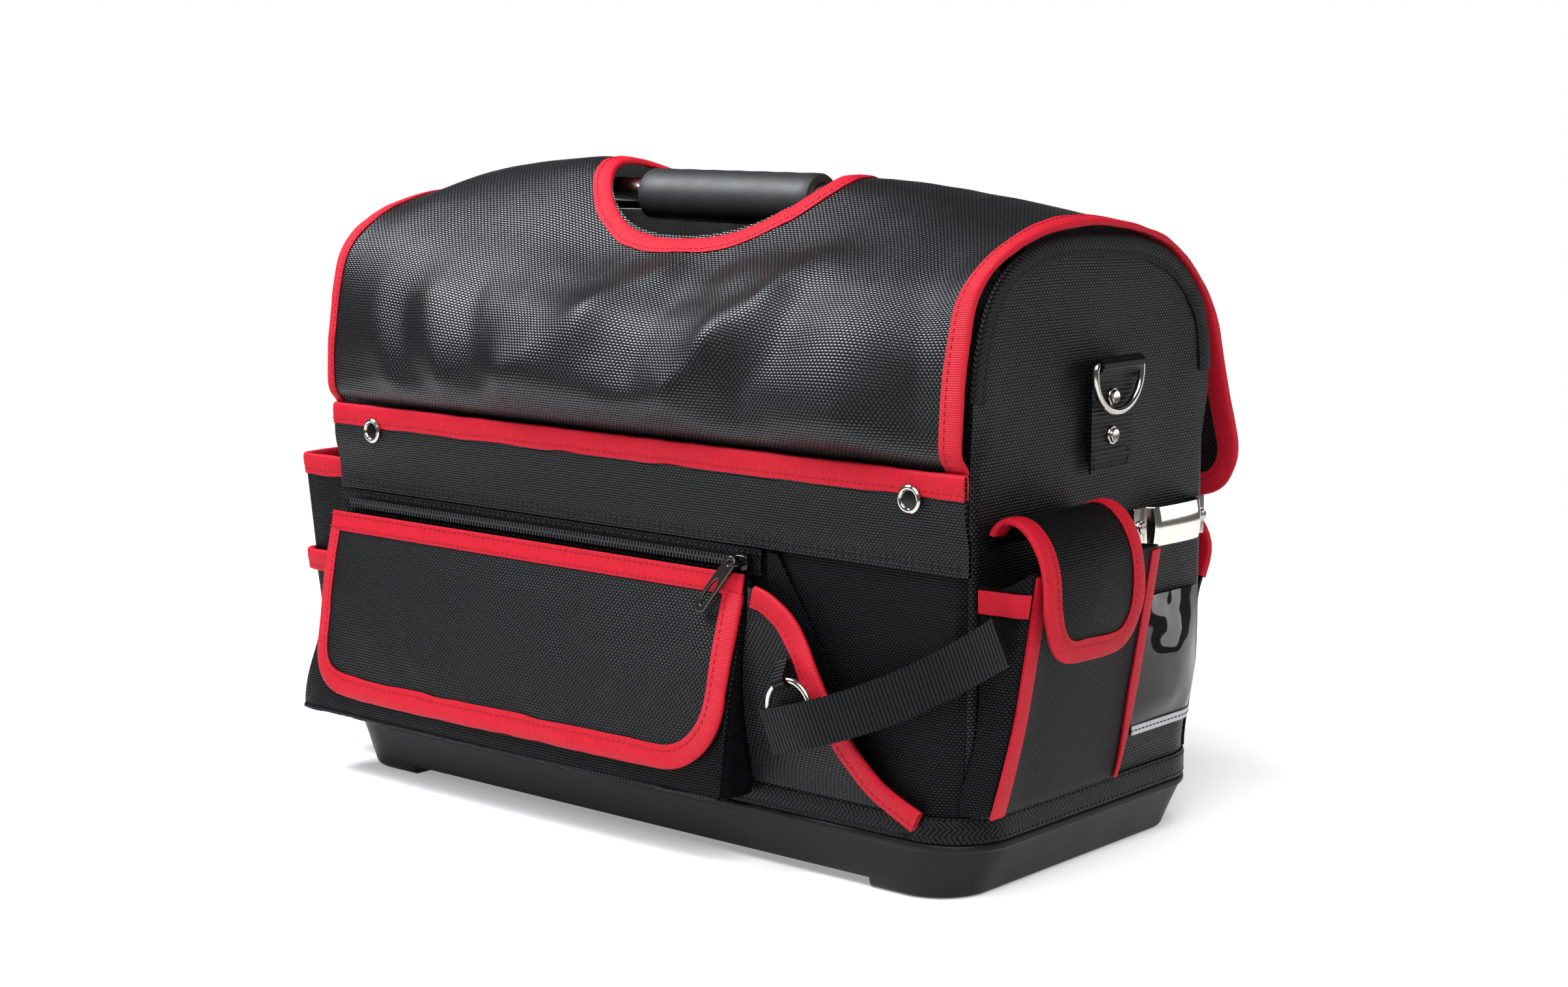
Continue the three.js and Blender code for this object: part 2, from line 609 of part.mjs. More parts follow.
const zipSurface = (x, z) => vec(x, -114.2 - 0.6 * clamp((BAND.bottom - z) / ZIP.tape, 0, 1), z);
const ZIP_TAPE_TOP = BAND.bottom - 0.8;

function zipTape() {
  const rows = [ZIP_TAPE_TOP - ZIP.tape + 1, ZIP.z, ZIP_TAPE_TOP];
  const columns = [BAND.left, -80, ZIP.tapeRight];
  return wall(rows.map((z) => columns.map((x) => zipSurface(x, z))), 1);
}
addPiece("zip_tape", zipTape(), BLACK_CLOTH);

const CHAIN_FACE = -115.4;
function zipChain() {
  const step = 30;
  const count = Math.round((ZIP.right - ZIP.left) / step);
  const rings = range(count + 1, (k) => {
    const x = lerp(ZIP.left, ZIP.right, k / count);
    const half = ZIP.chain / 2 - (k % 2) * 0.5;
    const corners = [[0, -half], [-ZIP.chainDepth, -half + 0.6], [-ZIP.chainDepth, half - 0.6], [0, half]];
    return corners.map(([y, z]) => vec(x, CHAIN_FACE + y, ZIP.z + z));
  });
  return loft(rings);
}
addPiece("zip_chain", zipChain(), 0x2a2a2c, 0.35, 0.3);

const SLIDER = { x: 97, width: 10, height: 9, depth: 4.5, bridge: 5, legs: 4 };

function zipSlider() {
  const { x, width, height, depth, bridge, legs } = SLIDER;
  const back = CHAIN_FACE;
  const low = vec(x - width / 2, back - depth, ZIP.z - height / 2);
  const high = vec(x + width / 2, back, ZIP.z + height / 2);
  const body = boxBetween(low, high);
  const half = [[legs - 1, -bridge - 1.4], [legs, -bridge], [legs, 0.4]];
  const arch = [...half.map(([dx, dy]) => [-dx, dy]).reverse(), ...half];
  const path = arch.map(([dx, dy]) => vec(x + dx, back - depth + dy, ZIP.z));
  return geometryOf(solidOf(body).add(solidOf(barAlong(path, vec(0, 0, 1), 0.9, 6))));
}
addPiece("zip_slider", zipSlider(), 0x1a1a1c, 0.3, 0.4);

// The pull hangs from the slider's bridge, leaning to the left.
const PULL = { lean: 31, tilt: 16, length: 33, width: 8.5, thickness: 2, eye: 1.55, eyeRim: 4 };
const PULL_PIVOT = vec(SLIDER.x - SLIDER.legs, CHAIN_FACE - SLIDER.depth - 3.3, ZIP.z);

function zipPull() {
  const { length, width, thickness, eye, eyeRim } = PULL;
  const outline = new THREE.Shape();
  outline.absarc(0, 0, eyeRim, 0, Math.PI, false);
  outline.lineTo(-width / 2, -length + width / 2);
  outline.absarc(0, -length + width / 2, width / 2, Math.PI, 2 * Math.PI, false);
  outline.lineTo(eyeRim, 0);
  const holes = [[0, 0, eye, eye], [0, -length + 8, 2.2, 5]];
  for (const [x, y, rx, ry] of holes) {
    const hole = new THREE.Path();
    hole.absellipse(x, y, rx, ry, 0, 2 * Math.PI, true);
    outline.holes.push(hole);
  }
  const sweep = { depth: thickness, bevelEnabled: false, curveSegments: 6 };
  const plate = new THREE.ExtrudeGeometry(outline, sweep);
  plate.translate(0, 0, -thickness / 2).rotateZ(-radians(PULL.lean));
  plate.rotateX(Math.PI / 2 - radians(PULL.tilt));
  return plate.translate(PULL_PIVOT.x, PULL_PIVOT.y, PULL_PIVOT.z);
}
addPiece("zip_pull", zipPull(), 0x1a1a1c, 0.25, 0.4);

// Pocket flap, over the pocket's face
const FLAP_LIFT = 3.4;
const flapSurface = (x, z) => vec(x, pocketFace(x, z).y - FLAP_LIFT, z);

const FLAP_TURNS = [22, 45, 66, 90];

// Half-open outline of a flap: down one side, round two corners and up the other.
function flapRoute({ left, right, top, bottom, corner }, startDrop) {
  const side = spread(top - startDrop, bottom + corner, 4);
  const arc = FLAP_TURNS.slice(0, -1).map(radians);
  const down = side.map((b) => ({ a: left, b, inA: 1, inB: 0 }));
  const leftCorner = arc.map((t) => {
    const [inA, inB] = [Math.cos(t), Math.sin(t)];
    return { a: left + corner * (1 - inA), b: bottom + corner * (1 - inB), inA, inB };
  });
  const flat = spread(left + corner, right - corner, 5).map((a) => ({ a, b: bottom, inA: 0, inB: 1 }));
  const rightCorner = leftCorner.map((p) => ({ ...p, a: left + right - p.a, inA: -p.inA })).reverse();
  const up = down.map((p) => ({ ...p, a: right, inA: -1 })).reverse();
  return [...down, ...leftCorner, ...flat, ...rightCorner, ...up];
}

// The grid of a flap: rows across it, drawn in at its rounded corners.
function flapGrid(surface, { left, right, top, bottom, corner }, columns = 9, straightRows = 5) {
  const straight = spread(top, bottom + corner, straightRows).map((b) => [b, 0]);
  const round = FLAP_TURNS.map((angle) => {
    const t = radians(angle);
    return [bottom + corner * (1 - Math.sin(t)), corner * (1 - Math.cos(t))];
  });
  return [...straight, ...round].map(([b, draw]) =>
    spread(left + draw, right - draw, columns).map((a) => surface(a, b)));
}

addPiece("pocket_flap", wall(flapGrid(flapSurface, FLAP), THIN_CLOTH), BLACK_CLOTH);
const flapTape = edgeTape(flapSurface, flapRoute(FLAP, 14), THIN_CLOTH, { clearance: 0.6 });
addPiece("pocket_flap_binding", flapTape, RED_TAPE);

function seamTape() {
  const columns = spread(FLAP.left, FLAP.right + 2, 9);
  const rows = [146.5, 152, 158];
  const lift = THIN_CLOTH / 2 + GAP + 0.6;
  return wall(rows.map((z) => columns.map((x) => flapSurface(x, z).add(vec(0, -lift, 0)))), 1.2);
}
addPiece("pocket_seam_tape", seamTape(), RED_TAPE);

// Open side pocket, with a slanted edge from the zip's end down to the foot
const SLANT = [
  { z: 48, x: 216 }, { z: 60, x: 189 }, { z: 78, x: 174 }, { z: 102, x: 159 },
  { z: 134, x: 139 }, { z: 150, x: 121 }, { z: 155, x: 109 },
];
const SLANT_X = SLANT.map((row) => row.x);
const SLANT_Z = SLANT.map((row) => row.z);
const SIDE_LEFT = 105.2;

function sidePocketSurface(x, z) {
  const height = clamp((z - 48) / 107, 0, 1);
  const bulge = 8.5 * Math.sin(Math.PI * Math.min(height * 1.2, 1) * 0.8);
  return vec(x, -117.2 - bulge * clamp((230 - x) / 60, 0, 1), z);
}

function sidePocket() {
  const rows = spread(0, SLANT.length - 1, 11);
  const grid = rows.map((s) => {
    const z = through(SLANT_Z, s);
    return spread(SIDE_LEFT, through(SLANT_X, s), 6).map((x) => sidePocketSurface(x, z));
  });
  return wall(grid, THIN_CLOTH);
}
addPiece("side_pocket", sidePocket(), BLACK_CLOTH);

const slantRoute = spread(0, SLANT.length - 1, 11).map((s) => {
  const dx = through(SLANT_X, s + 0.05) - through(SLANT_X, s - 0.05);
  const dz = through(SLANT_Z, s + 0.05) - through(SLANT_Z, s - 0.05);
  const length = Math.hypot(dx, dz);
  return { a: through(SLANT_X, s), b: through(SLANT_Z, s), inA: -dz / length, inB: dx / length };
});
const slantOptions = { clearance: 0.6, width: 9 };
const slantTape = edgeTape(sidePocketSurface, slantRoute.slice(0, -1), THIN_CLOTH, slantOptions);
addPiece("side_pocket_binding", slantTape, RED_TAPE);

function innerPocket() {
  const edge = [[48, 184], [80, 173], [107, 161], [140, 141], [174, 119]];
  const grid = edge.map(([z, x]) => [112.5, (112.5 + x) / 2, x].map((place) => vec(place, -113.9, z)));
  return wall(grid, 1.2);
}
addPiece("inner_pocket", innerPocket(), BLACK_CLOTH);

// Hammer strap: from the corner seam to the ring, round it and back past the corner
const STRAP_ALONG = vec(Math.cos(radians(STRAP.slope)), 0, Math.sin(radians(STRAP.slope)));
const STRAP_ACROSS = vec(-STRAP_ALONG.z, 0, STRAP_ALONG.x);
const RING = { x: 144, y: -134, z: 97, radius: 14.5, wire: 1.7, tabAngle: 112, tabWidth: 8 };
const STRAP_FOLD = vec(131, RING.y, 82);

function strapPoint(along, y) {
  return vec(STRAP_FOLD.x + STRAP_ALONG.x * along, y, STRAP_FOLD.z + STRAP_ALONG.z * along);
}

function hammerStrap() {
  const turn = 4;
  const behind = [[122, -116.6], [105, -117.5], [80, -122.5], [55, -128.5], [30, -130], [6, RING.y + turn]];
  const fold = spread(90, 270, 7).map((angle) => {
    const t = radians(angle);
    return [3.2 + turn * Math.cos(t), RING.y + turn * Math.sin(t)];
  });
  const front = [
    [6, RING.y - turn], [30, -138], [60, -133.5], [90, -127.5],
    [115, -122.6], [130, -121.2], [145, -121.2], [157, -122.6],
  ];
  const path = [...behind, ...fold, ...front].map(([along, y]) => strapPoint(along, y));
  return strapWall(path, () => STRAP_ACROSS, STRAP.width, STRAP.thickness);
}
addPiece("hammer_strap", hammerStrap(), BLACK_CLOTH);

const ringGeometry = new THREE.TorusGeometry(RING.radius, RING.wire, 6, 16).rotateX(Math.PI / 2);
addPiece("strap_ring", ringGeometry.translate(RING.x, RING.y, RING.z), NICKEL, 0.25, 1);

function ringTab() {
  const out = vec(Math.cos(radians(RING.tabAngle)), 0, Math.sin(radians(RING.tabAngle)));
  const across = vec(-out.z, 0, out.x);
  const centre = vec(RING.x, RING.y, RING.z).addScaledVector(out, RING.radius - 0.5);
  const inner = RING.wire + 1.5;
  const loop = spread(70, 290, 8).map((angle) => {
    const t = radians(angle);
    return [inner * Math.cos(t), inner * Math.sin(t)];
  });
  const route = [[20, 7.2], ...loop, [20, 5.6]];
  const path = route.map(([along, y]) => centre.clone().addScaledVector(out, along).add(vec(0, y, 0)));
  return strapWall(path, () => across, RING.tabWidth, 1.2);
}
addPiece("ring_tab", ringTab(), BLACK_CLOTH);

// D-rings on the ends
function dRingPath(side) {
  const { y, barZ, barX, wire, width, drop } = D_RING;
  const half = width / 2 + wire;
  const arc = spread(0, 180, 11).map((angle) => {
    const t = radians(angle);
    return vec(side * barX, y + half * Math.cos(t), barZ - drop - half * 0.95 * Math.sin(t));
  });
  const bar = spread(y - half, y + half, 3).map((place) => vec(side * barX, place, barZ));
  return [...arc, ...bar];
}

const END_FACE = HALF_LENGTH + CLOTH / 2;
const D_TAB = 1.5;

function dTab(side) {
  const { barX, barZ, wire, width, y } = D_RING;
  const inner = wire + 0.4 + D_TAB / 2;
  const backX = END_FACE + GAP + D_TAB / 2;
  const frontX = backX + D_TAB + GAP;
  const loop = spread(165, -70, 9).map((angle) => {
    const t = radians(angle);
    return [barX + inner * Math.cos(t), barZ + inner * Math.sin(t)];
  });
  const behind = [[backX, 224], [backX, 262], [backX + 0.4, 270]];
  const front = [[barX - 1.2, 269.8], [frontX + 0.5, 266.6], [frontX, 263.2], [frontX, 218]];
  const route = [...behind, ...loop, ...front];
  const path = route.map(([x, z]) => vec(side * x, y, z));
  return strapWall(path, () => vec(0, 1, 0), width - 1.4, D_TAB);
}

const D_RIVETS = [["upper", 257.6], ["lower", 237]];
const D_RIVET_RADIUS = 5;
for (const [name, side] of [["right", 1], ["left", -1]]) {
  addPiece(`d_ring_${name}`, barAlong(dRingPath(side), vec(1, 0, 0), D_RING.wire, 6, true), NICKEL, 0.25, 1);
  addPiece(`d_tab_${name}`, dTab(side), BLACK_CLOTH);
  for (const [level, z] of D_RIVETS) {
    const face = END_FACE + 2 * (GAP + D_TAB) + GAP;
    const stud = rivet(DOME_PROFILE, D_RIVET_RADIUS, vec(side * face, D_RING.y, z), vec(side, 0, 0));
    addPiece(`d_rivet_${name}_${level}`, stud, NICKEL, 0.3, 1);
  }
}

// Pouch on the right end: its face leans out towards the top
const PANEL_GAP = END_FACE + GAP + THIN_CLOTH / 2;
const pouchFace = (y, z) => {
  const up = clamp((z - POUCH.bottom) / (POUCH.top - POUCH.bottom), 0, 1.2);
  const middle = (y - POUCH.front) / (POUCH.rear - POUCH.front);
  const crown = 1.5 * Math.sin(Math.PI * clamp(middle, 0, 1)) * (0.4 + up);
  return vec(PANEL_GAP + lerp(POUCH.depthBottom, POUCH.depthTop, up ** 0.8) + crown, y, z);
};

// How far out a sheet lies against the right end, which rounds off towards its front corner.
function endSeat(y, z) {
  const { halfY, radius, centreY } = wallSection(z);
  const past = centreY - halfY + radius - y;
  if (past <= 0) return PANEL_GAP;
  const reach = radius + PANEL_GAP - HALF_LENGTH;
  return HALF_LENGTH - radius + Math.sqrt(reach ** 2 - past ** 2);
}

const POUCH_ROWS = [62, 84, 108, 132, 156];

function pouchPiece() {
  const { front, rear, top, bottom, gussetY, gussetTop } = POUCH;
  const columns = spread(front, rear, 6);
  const grid = [bottom + 2, ...POUCH_ROWS, top].map((z) => {
    const level = Math.min(z, gussetTop);
    const face = columns.map((y) => pouchFace(y, z));
    const seat = endSeat(gussetY, level);
    const back = face[face.length - 1].x;
    return [
      vec(seat, gussetY, level), vec(lerp(seat, face[0].x, 0.45), lerp(gussetY, front, 0.25), level), ...face,
      vec(lerp(PANEL_GAP, back, 0.5), rear - 6, z), vec(PANEL_GAP, rear + 1, z),
    ];
  });
  const floor = grid[0].map((p) => vec(lerp(endSeat(p.y, bottom), p.x, 0.25), p.y, bottom));
  return wall([floor, ...grid], THIN_CLOTH);
}
addPiece("pouch", pouchPiece(), BLACK_CLOTH);

// A raised tape along a corner of the pouch, on its face.
function pouchCornerTape(from, to) {
  const lift = THIN_CLOTH / 2 + GAP + 0.8;
  const rows = [POUCH.bottom + 4, ...POUCH_ROWS, POUCH.top - 2];
  const columns = [from, (from + to) / 2, to];
  return wall(rows.map((z) => columns.map((y) => pouchFace(y, z).add(vec(lift, 0, 0)))), 1.6);
}
addPiece("pouch_binding_front", pouchCornerTape(POUCH.front + 0.5, POUCH.front + 10.5), RED_TAPE);
addPiece("pouch_binding_rear", pouchCornerTape(POUCH.rear - 8.5, POUCH.rear - 0.5), RED_TAPE);

const GUSSET_TAPE = { bottom: 157, top: 169, thickness: 1.2 };

function gussetTape() {
  const { bottom, top, thickness } = GUSSET_TAPE;
  const lift = THIN_CLOTH / 2 + GAP + thickness / 2;
  const corner = pouchFace(POUCH.front, bottom).x;
  const rows = [bottom, top].map((z) => [
    vec(PANEL_GAP + 0.8, POUCH.gussetY - lift, z),
    vec(lerp(PANEL_GAP, corner, 0.45), lerp(POUCH.gussetY, POUCH.front, 0.25) - lift, z),
    vec(corner - 2, lerp(POUCH.gussetY, POUCH.front, 0.85) - lift - 0.4, z),
  ]);
  return wall(rows, thickness);
}
addPiece("gusset_binding", gussetTape(), RED_TAPE);

// The pouch's flap: from the end panel over the mouth and down the face, by the length along it
const FLAP_PROFILE = [
  { x: END_FACE + 1.6, z: 190 }, { x: END_FACE + 5, z: 199 }, { x: 258, z: 204.5 }, { x: 268, z: 202.5 },
  { x: 277, z: 193.5 }, { x: 282.5, z: 178 }, { x: 284, z: 153 }, { x: 281.5, z: POUCH_FLAP.bottom },
];
const FLAP_X = FLAP_PROFILE.map((row) => row.x);
const FLAP_Z = FLAP_PROFILE.map((row) => row.z);
const FLAP_ROWS = FLAP_PROFILE.length - 1;
const FLAP_ROW_LENGTH = 22;

function pouchFlapSurface(y, s) {
  const row = FLAP_ROWS - s / FLAP_ROW_LENGTH;
  const middle = (y - POUCH_FLAP.front) / (POUCH_FLAP.rear - POUCH_FLAP.front);
  const crown = 2.5 * Math.sin(Math.PI * clamp(middle, 0, 1)) * clamp(row / 3, 0, 1);
  return vec(through(FLAP_X, row) + crown, y, through(FLAP_Z, row));
}
const POUCH_FLAP_SHAPE = {
  left: POUCH_FLAP.front, right: POUCH_FLAP.rear, top: FLAP_ROWS * FLAP_ROW_LENGTH, bottom: 0,
  corner: POUCH_FLAP.corner,
};
addPiece("pouch_flap", wall(flapGrid(pouchFlapSurface, POUCH_FLAP_SHAPE, 6, 9), THIN_CLOTH), BLACK_CLOTH);

function pouchFlapTape() {
  const { left, right, top, bottom, corner } = POUCH_FLAP_SHAPE;
  const long = flapRoute(POUCH_FLAP_SHAPE, 16);
  const side = spread(top, bottom + corner, 9).slice(1);
  const middle = long.slice(4, -4);
  const down = side.map((b) => ({ a: left, b, inA: 1, inB: 0 }));
  const up = side.map((b) => ({ a: right, b, inA: -1, inB: 0 })).reverse();
  return edgeTape(pouchFlapSurface, [...down, ...middle, ...up], THIN_CLOTH, { clearance: 0.6, width: 10 });
}
addPiece("pouch_flap_binding", pouchFlapTape(), RED_TAPE);

// Tape clip: a bowed plate held by two rivets
const CLIP = { bottom: 171, top: 193, thickness: 1.2, out: 7, front: 36, rear: 108 };

function tapeClip() {
  const { front, rear, out, bottom, top, thickness } = CLIP;
  const flat = END_FACE + GAP + thickness / 2;
  const way = [
    [front, flat], [front + 11, flat], [front + 14, flat + out * 0.8], [front + 18, flat + out],
    [rear - 17, flat + out + 1], [rear - 13, flat + out * 0.8], [rear - 10, flat], [rear, flat],
  ];
  return wall([bottom, top].map((z) => way.map(([y, x]) => vec(x, y, z))), thickness);
}
addPiece("tape_clip", tapeClip(), NICKEL, 0.2, 1);
for (const [name, y] of [["front", CLIP.front + 5.5], ["rear", CLIP.rear - 5]]) {
  const place = vec(END_FACE + GAP + CLIP.thickness + GAP, y, (CLIP.bottom + CLIP.top) / 2);
  addPiece(`clip_rivet_${name}`, rivet(DOME_PROFILE, 4.2, place, vec(1, 0, 0)), NICKEL, 0.3, 1);
}

// Clear window pocket
const FILM = 0.8;

function windowFilm() {
  const columns = spread(WINDOW.front, WINDOW.rear, 5);
  const rows = spread(WINDOW.bottom, WINDOW.top, 5);
  const bow = (y, z) => {
    const across = (y - WINDOW.front) / (WINDOW.rear - WINDOW.front);
    const up = (z - WINDOW.bottom) / (WINDOW.top - WINDOW.bottom);
    return END_FACE + GAP + FILM / 2 + 1.8 * Math.sin(Math.PI * across) * up;
  };
  return wall(rows.map((z) => columns.map((y) => vec(bow(y, z), y, z))), FILM);
}
addPiece("window_film", windowFilm(), 0x55565c, 0.1);

const STRIP = { height: 5, thickness: 0.8 };
const stripBack = END_FACE + GAP + FILM + GAP;
const stripLow = vec(stripBack, WINDOW.front, WINDOW.bottom);
const stripHigh = vec(stripBack + STRIP.thickness, WINDOW.rear, WINDOW.bottom + STRIP.height);
addPiece("window_strip", boxBetween(stripLow, stripHigh), NICKEL, 0.4);

// Left end: a deep open pocket and a lower one on its face
const leftFace = (y, z) => {
  const up = clamp((z - LEFT_POCKET.bottom) / (LEFT_POCKET.top - LEFT_POCKET.bottom), 0, 1.2);
  const middle = clamp((y - LEFT_POCKET.front) / (LEFT_POCKET.rear - LEFT_POCKET.front), 0, 1);
  const crown = 3 * Math.sin(Math.PI * middle);
  return vec(-PANEL_GAP - lerp(LEFT_POCKET.depthBottom, LEFT_POCKET.depthTop, up) - crown, y, z);
};

const LEFT_EDGE = [LEFT_POCKET.front + 5, ...spread(-70, 70, 5), LEFT_POCKET.rear - 5];

function leftPocket() {
  const rows = [50, 70, 94, 126, 158, LEFT_POCKET.top];
  const columns = [LEFT_POCKET.front, ...LEFT_EDGE, LEFT_POCKET.rear];
  const seat = -(END_FACE + GAP);
  const grid = trayGrid(leftFace, columns, rows, (p) => vec(seat, p.y, p.z), 0.8);
  const floor = grid[0].map((p) => vec(lerp(-PANEL_GAP, p.x, 0.2), p.y, LEFT_POCKET.bottom - 1));
  return wall([floor, ...grid], THIN_CLOTH);
}
addPiece("left_pocket", leftPocket(), BLACK_CLOTH);

const leftRoute = LEFT_EDGE.map((y) => ({ a: y, b: LEFT_POCKET.top, inA: 0, inB: -1 }));
addPiece("left_pocket_binding", edgeTape(leftFace, leftRoute, THIN_CLOTH), RED_TAPE);

const LOWER_TOP = 130;
const lowerFace = (y, z) => leftFace(y, z).add(vec(-2.2 - 2.4 * clamp((z - 60) / 70, 0, 1.2), 0, 0));
function leftLowerPocket() {
  const rows = [54, 72, 100, LOWER_TOP];
  return wall(rows.map((z) => LEFT_EDGE.map((y) => lowerFace(y, z))), THIN_CLOTH);
}
addPiece("left_lower_pocket", leftLowerPocket(), BLACK_CLOTH);
const lowerRoute = LEFT_EDGE.map((y) => ({ a: y, b: LOWER_TOP, inA: 0, inB: -1 }));
addPiece("left_lower_binding", edgeTape(lowerFace, lowerRoute, THIN_CLOTH), RED_TAPE);

// Back pocket: a flat pocket with rounded upper corners
const backFace = (x, z) => {
  const up = clamp((z - BACK_POCKET.bottom) / (BACK_POCKET.top - BACK_POCKET.bottom), 0, 1.1);
  const sag = BACK_POCKET.sag * Math.sin(Math.PI * 0.62 * up);
  const foot = 2.6 * (1 - smooth((z - BACK_POCKET.bottom) / 60));
  return vec(x, HALF_DEPTH + CLOTH / 2 + 2.8 + sag + foot, z);
};
const BACK_SHAPE = {
  left: -BACK_POCKET.half, right: BACK_POCKET.half, top: -BACK_POCKET.bottom, bottom: -BACK_POCKET.top,
  corner: BACK_POCKET.corner,
};
const backFlipped = (x, b) => backFace(x, -b);
addPiece("back_pocket", wall(flapGrid(backFlipped, BACK_SHAPE, 7, 5), THIN_CLOTH), BLACK_CLOTH);
const backTape = edgeTape(backFlipped, flapRoute(BACK_SHAPE, 45), THIN_CLOTH, { clearance: 1 });
addPiece("back_pocket_binding", backTape, RED_TAPE);

// The left end leans in above the base. The base, its tape and the handle stay straight.
const UPRIGHT = ["base_tub", "foot_tape", "handle_frame", "handle_grip"];
for (const piece of bag.children.filter(({ name }) => !UPRIGHT.includes(name))) {
  const place = piece.geometry.attributes.position;
  for (let k = 0; k < place.count; k++) {
    const height = smooth((place.getZ(k) - LEAN.from) / (LEAN.to - LEAN.from));
    const share = clamp(-place.getX(k) / HALF_LENGTH, 0, 1);
    place.setX(k, place.getX(k) + LEAN.by * height * share);
  }
}

// The whole bag stands on z = 0 with its box centred on the origin.
const box = new THREE.Box3().setFromObject(bag);
const middle = box.getCenter(vec(0, 0, 0));
bag.position.set(-middle.x, -middle.y, -box.min.z);

const part = new THREE.Group();
part.add(bag);
export default part;
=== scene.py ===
"""Looks of the tool bag: cloth, tapes, stitches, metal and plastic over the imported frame."""

import json
import math

import bmesh
import bpy
import numpy as np
from bpy.props import FloatProperty, FloatVectorProperty, PointerProperty
from mathutils import Matrix, Vector

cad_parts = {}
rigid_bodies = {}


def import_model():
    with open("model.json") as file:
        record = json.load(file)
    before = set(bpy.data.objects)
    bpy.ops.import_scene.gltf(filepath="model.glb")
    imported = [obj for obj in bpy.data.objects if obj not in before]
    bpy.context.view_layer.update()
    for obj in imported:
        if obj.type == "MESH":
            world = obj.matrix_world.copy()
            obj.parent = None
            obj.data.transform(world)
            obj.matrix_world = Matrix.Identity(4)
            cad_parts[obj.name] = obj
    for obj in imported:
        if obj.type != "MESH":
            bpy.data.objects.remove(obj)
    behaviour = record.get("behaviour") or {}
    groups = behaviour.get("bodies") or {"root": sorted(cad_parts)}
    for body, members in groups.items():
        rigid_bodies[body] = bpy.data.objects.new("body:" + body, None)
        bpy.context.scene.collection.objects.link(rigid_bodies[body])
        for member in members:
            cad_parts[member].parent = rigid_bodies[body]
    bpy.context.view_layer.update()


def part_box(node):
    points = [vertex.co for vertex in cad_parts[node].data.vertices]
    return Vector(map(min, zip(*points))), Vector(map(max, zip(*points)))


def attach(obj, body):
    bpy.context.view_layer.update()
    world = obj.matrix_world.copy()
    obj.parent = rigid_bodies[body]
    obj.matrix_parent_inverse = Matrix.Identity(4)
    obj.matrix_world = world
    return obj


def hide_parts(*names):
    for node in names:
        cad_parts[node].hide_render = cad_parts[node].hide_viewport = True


bl_info = {
    "name": "Tool Bag",
    "version": (1, 0, 0),
    "blender": (4, 5, 0),
    "location": "View3D > Sidebar > Tool Bag",
    "description": "Dresses the packed tool bag with cloth, tapes, stitches, metal and plastic",
    "category": "Object",
}

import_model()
BASE_LOW, BASE_HIGH = (np.array(corner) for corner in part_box("base_tub"))
BASE_CENTRE_Y = 2.0
BASE_MIDDLE = (BASE_LOW + BASE_HIGH) / 2
ORIGIN = np.array([BASE_MIDDLE[0], BASE_MIDDLE[1] - BASE_CENTRE_Y / 1000, 0])
ROOT = "bag"

# Sizes of the bag in millimetres, in its own frame with the front at -Y
HALF_LENGTH = 245.0
HALF_DEPTH = 112.0
CLOTH = 2.0
THIN_CLOTH = 1.6
GAP = 0.3
END_FACE = HALF_LENGTH + CLOTH / 2
PANEL_SEAT = END_FACE + GAP + THIN_CLOTH / 2
ARCH = {"foot": 235.0, "rise": 111.0, "power": 3.0}
FOOT = {"half_y": 113.5, "radius": 34.0, "corner": 9.0, "low": 48.0, "high": 110.0}
PANEL_TOP = 226.0
BAND = {"top": 227.0, "top_y": -118.4, "bottom": 176.0, "foot_y": -114.5, "left": -243.5, "right": 247.5}
BAND_RIVETS = {"right": 213.5, "left": -206.0}
BAND_RIVET_Z = 214.0
BAND_SEAMS = (178.5, 181.5)
HANDLE = {"y": -5.0, "z": 357.0, "radius": 9.75, "bend": 90.0, "leg_x": 218.0, "foot": 9.3}
GRIP = {"x": -6.0, "half": 66.0, "radius": 15.5}
HOLE = {"x": -6.5, "y": -5.0, "half_x": 88.5, "half_y": 50.0}
ZIP = {"z": 167.0, "left": -233.0, "right": 90.0, "tape": 16.0, "face": -115.4}
POCKET = {"left": -243.5, "right": 101.0, "top": 158.0, "bottom": 40.0, "back": -113.9, "foot_back": -115.7}
FLAP = {
    "left": -244.0, "right": 100.0, "top": 161.5, "bottom": 54.0,
    "corner": 38.0, "lift": 3.4, "flat": 113.0,
}
D_RING = {"y": 9.0, "bar_z": 276.0, "bar_x": 253.4, "wire": 2.0, "half": 22.0, "drop": 5.0, "tab": 38.6}
D_RIVETS = {"upper": 257.6, "lower": 237.0}
RING = {"x": 144.0, "y": -134.0, "z": 97.0, "radius": 14.5, "wire": 1.7, "tab_angle": 112.0, "tab": 8.0}
STRAP = {"thickness": 2.0, "slope": 25.0, "bow": 8.0, "x": 131.0, "z": 82.0}
POUCH = {"front": -100.0, "rear": 13.0, "top": 180.0, "bottom": 48.5, "deep": 30.0, "shallow": 5.0}
GUSSET = {"y": -104.5, "top": 171.0, "tape_low": 157.0, "tape_high": 169.0}
POUCH_FLAP = {"front": -99.0, "rear": -12.0, "corner": 30.0}
WINDOW = {"front": 37.0, "rear": 103.0, "bottom": 66.0, "top": 142.0}
LEFT = {
    "front": -105.0, "rear": 105.0, "top": 190.0, "bottom": 48.0,
    "deep": 45.0, "shallow": 24.0, "lower": 130.0,
}
BACK = {"half": 240.0, "top": 186.0, "bottom": 47.0, "corner": 34.0, "sag": 13.0}
LEAN = {"by": 8.0, "low": 47.0, "high": 92.0}
FORWARD = np.array([0, -1.0, 0])
# How the arched top settles: how far, from which height and over what height
SETTLE = {"sway": (4.0, 290.0, 45.0), "drop": (4.5, 288.0, 50.0), "rise": (10.0, 285.0, 60.0)}

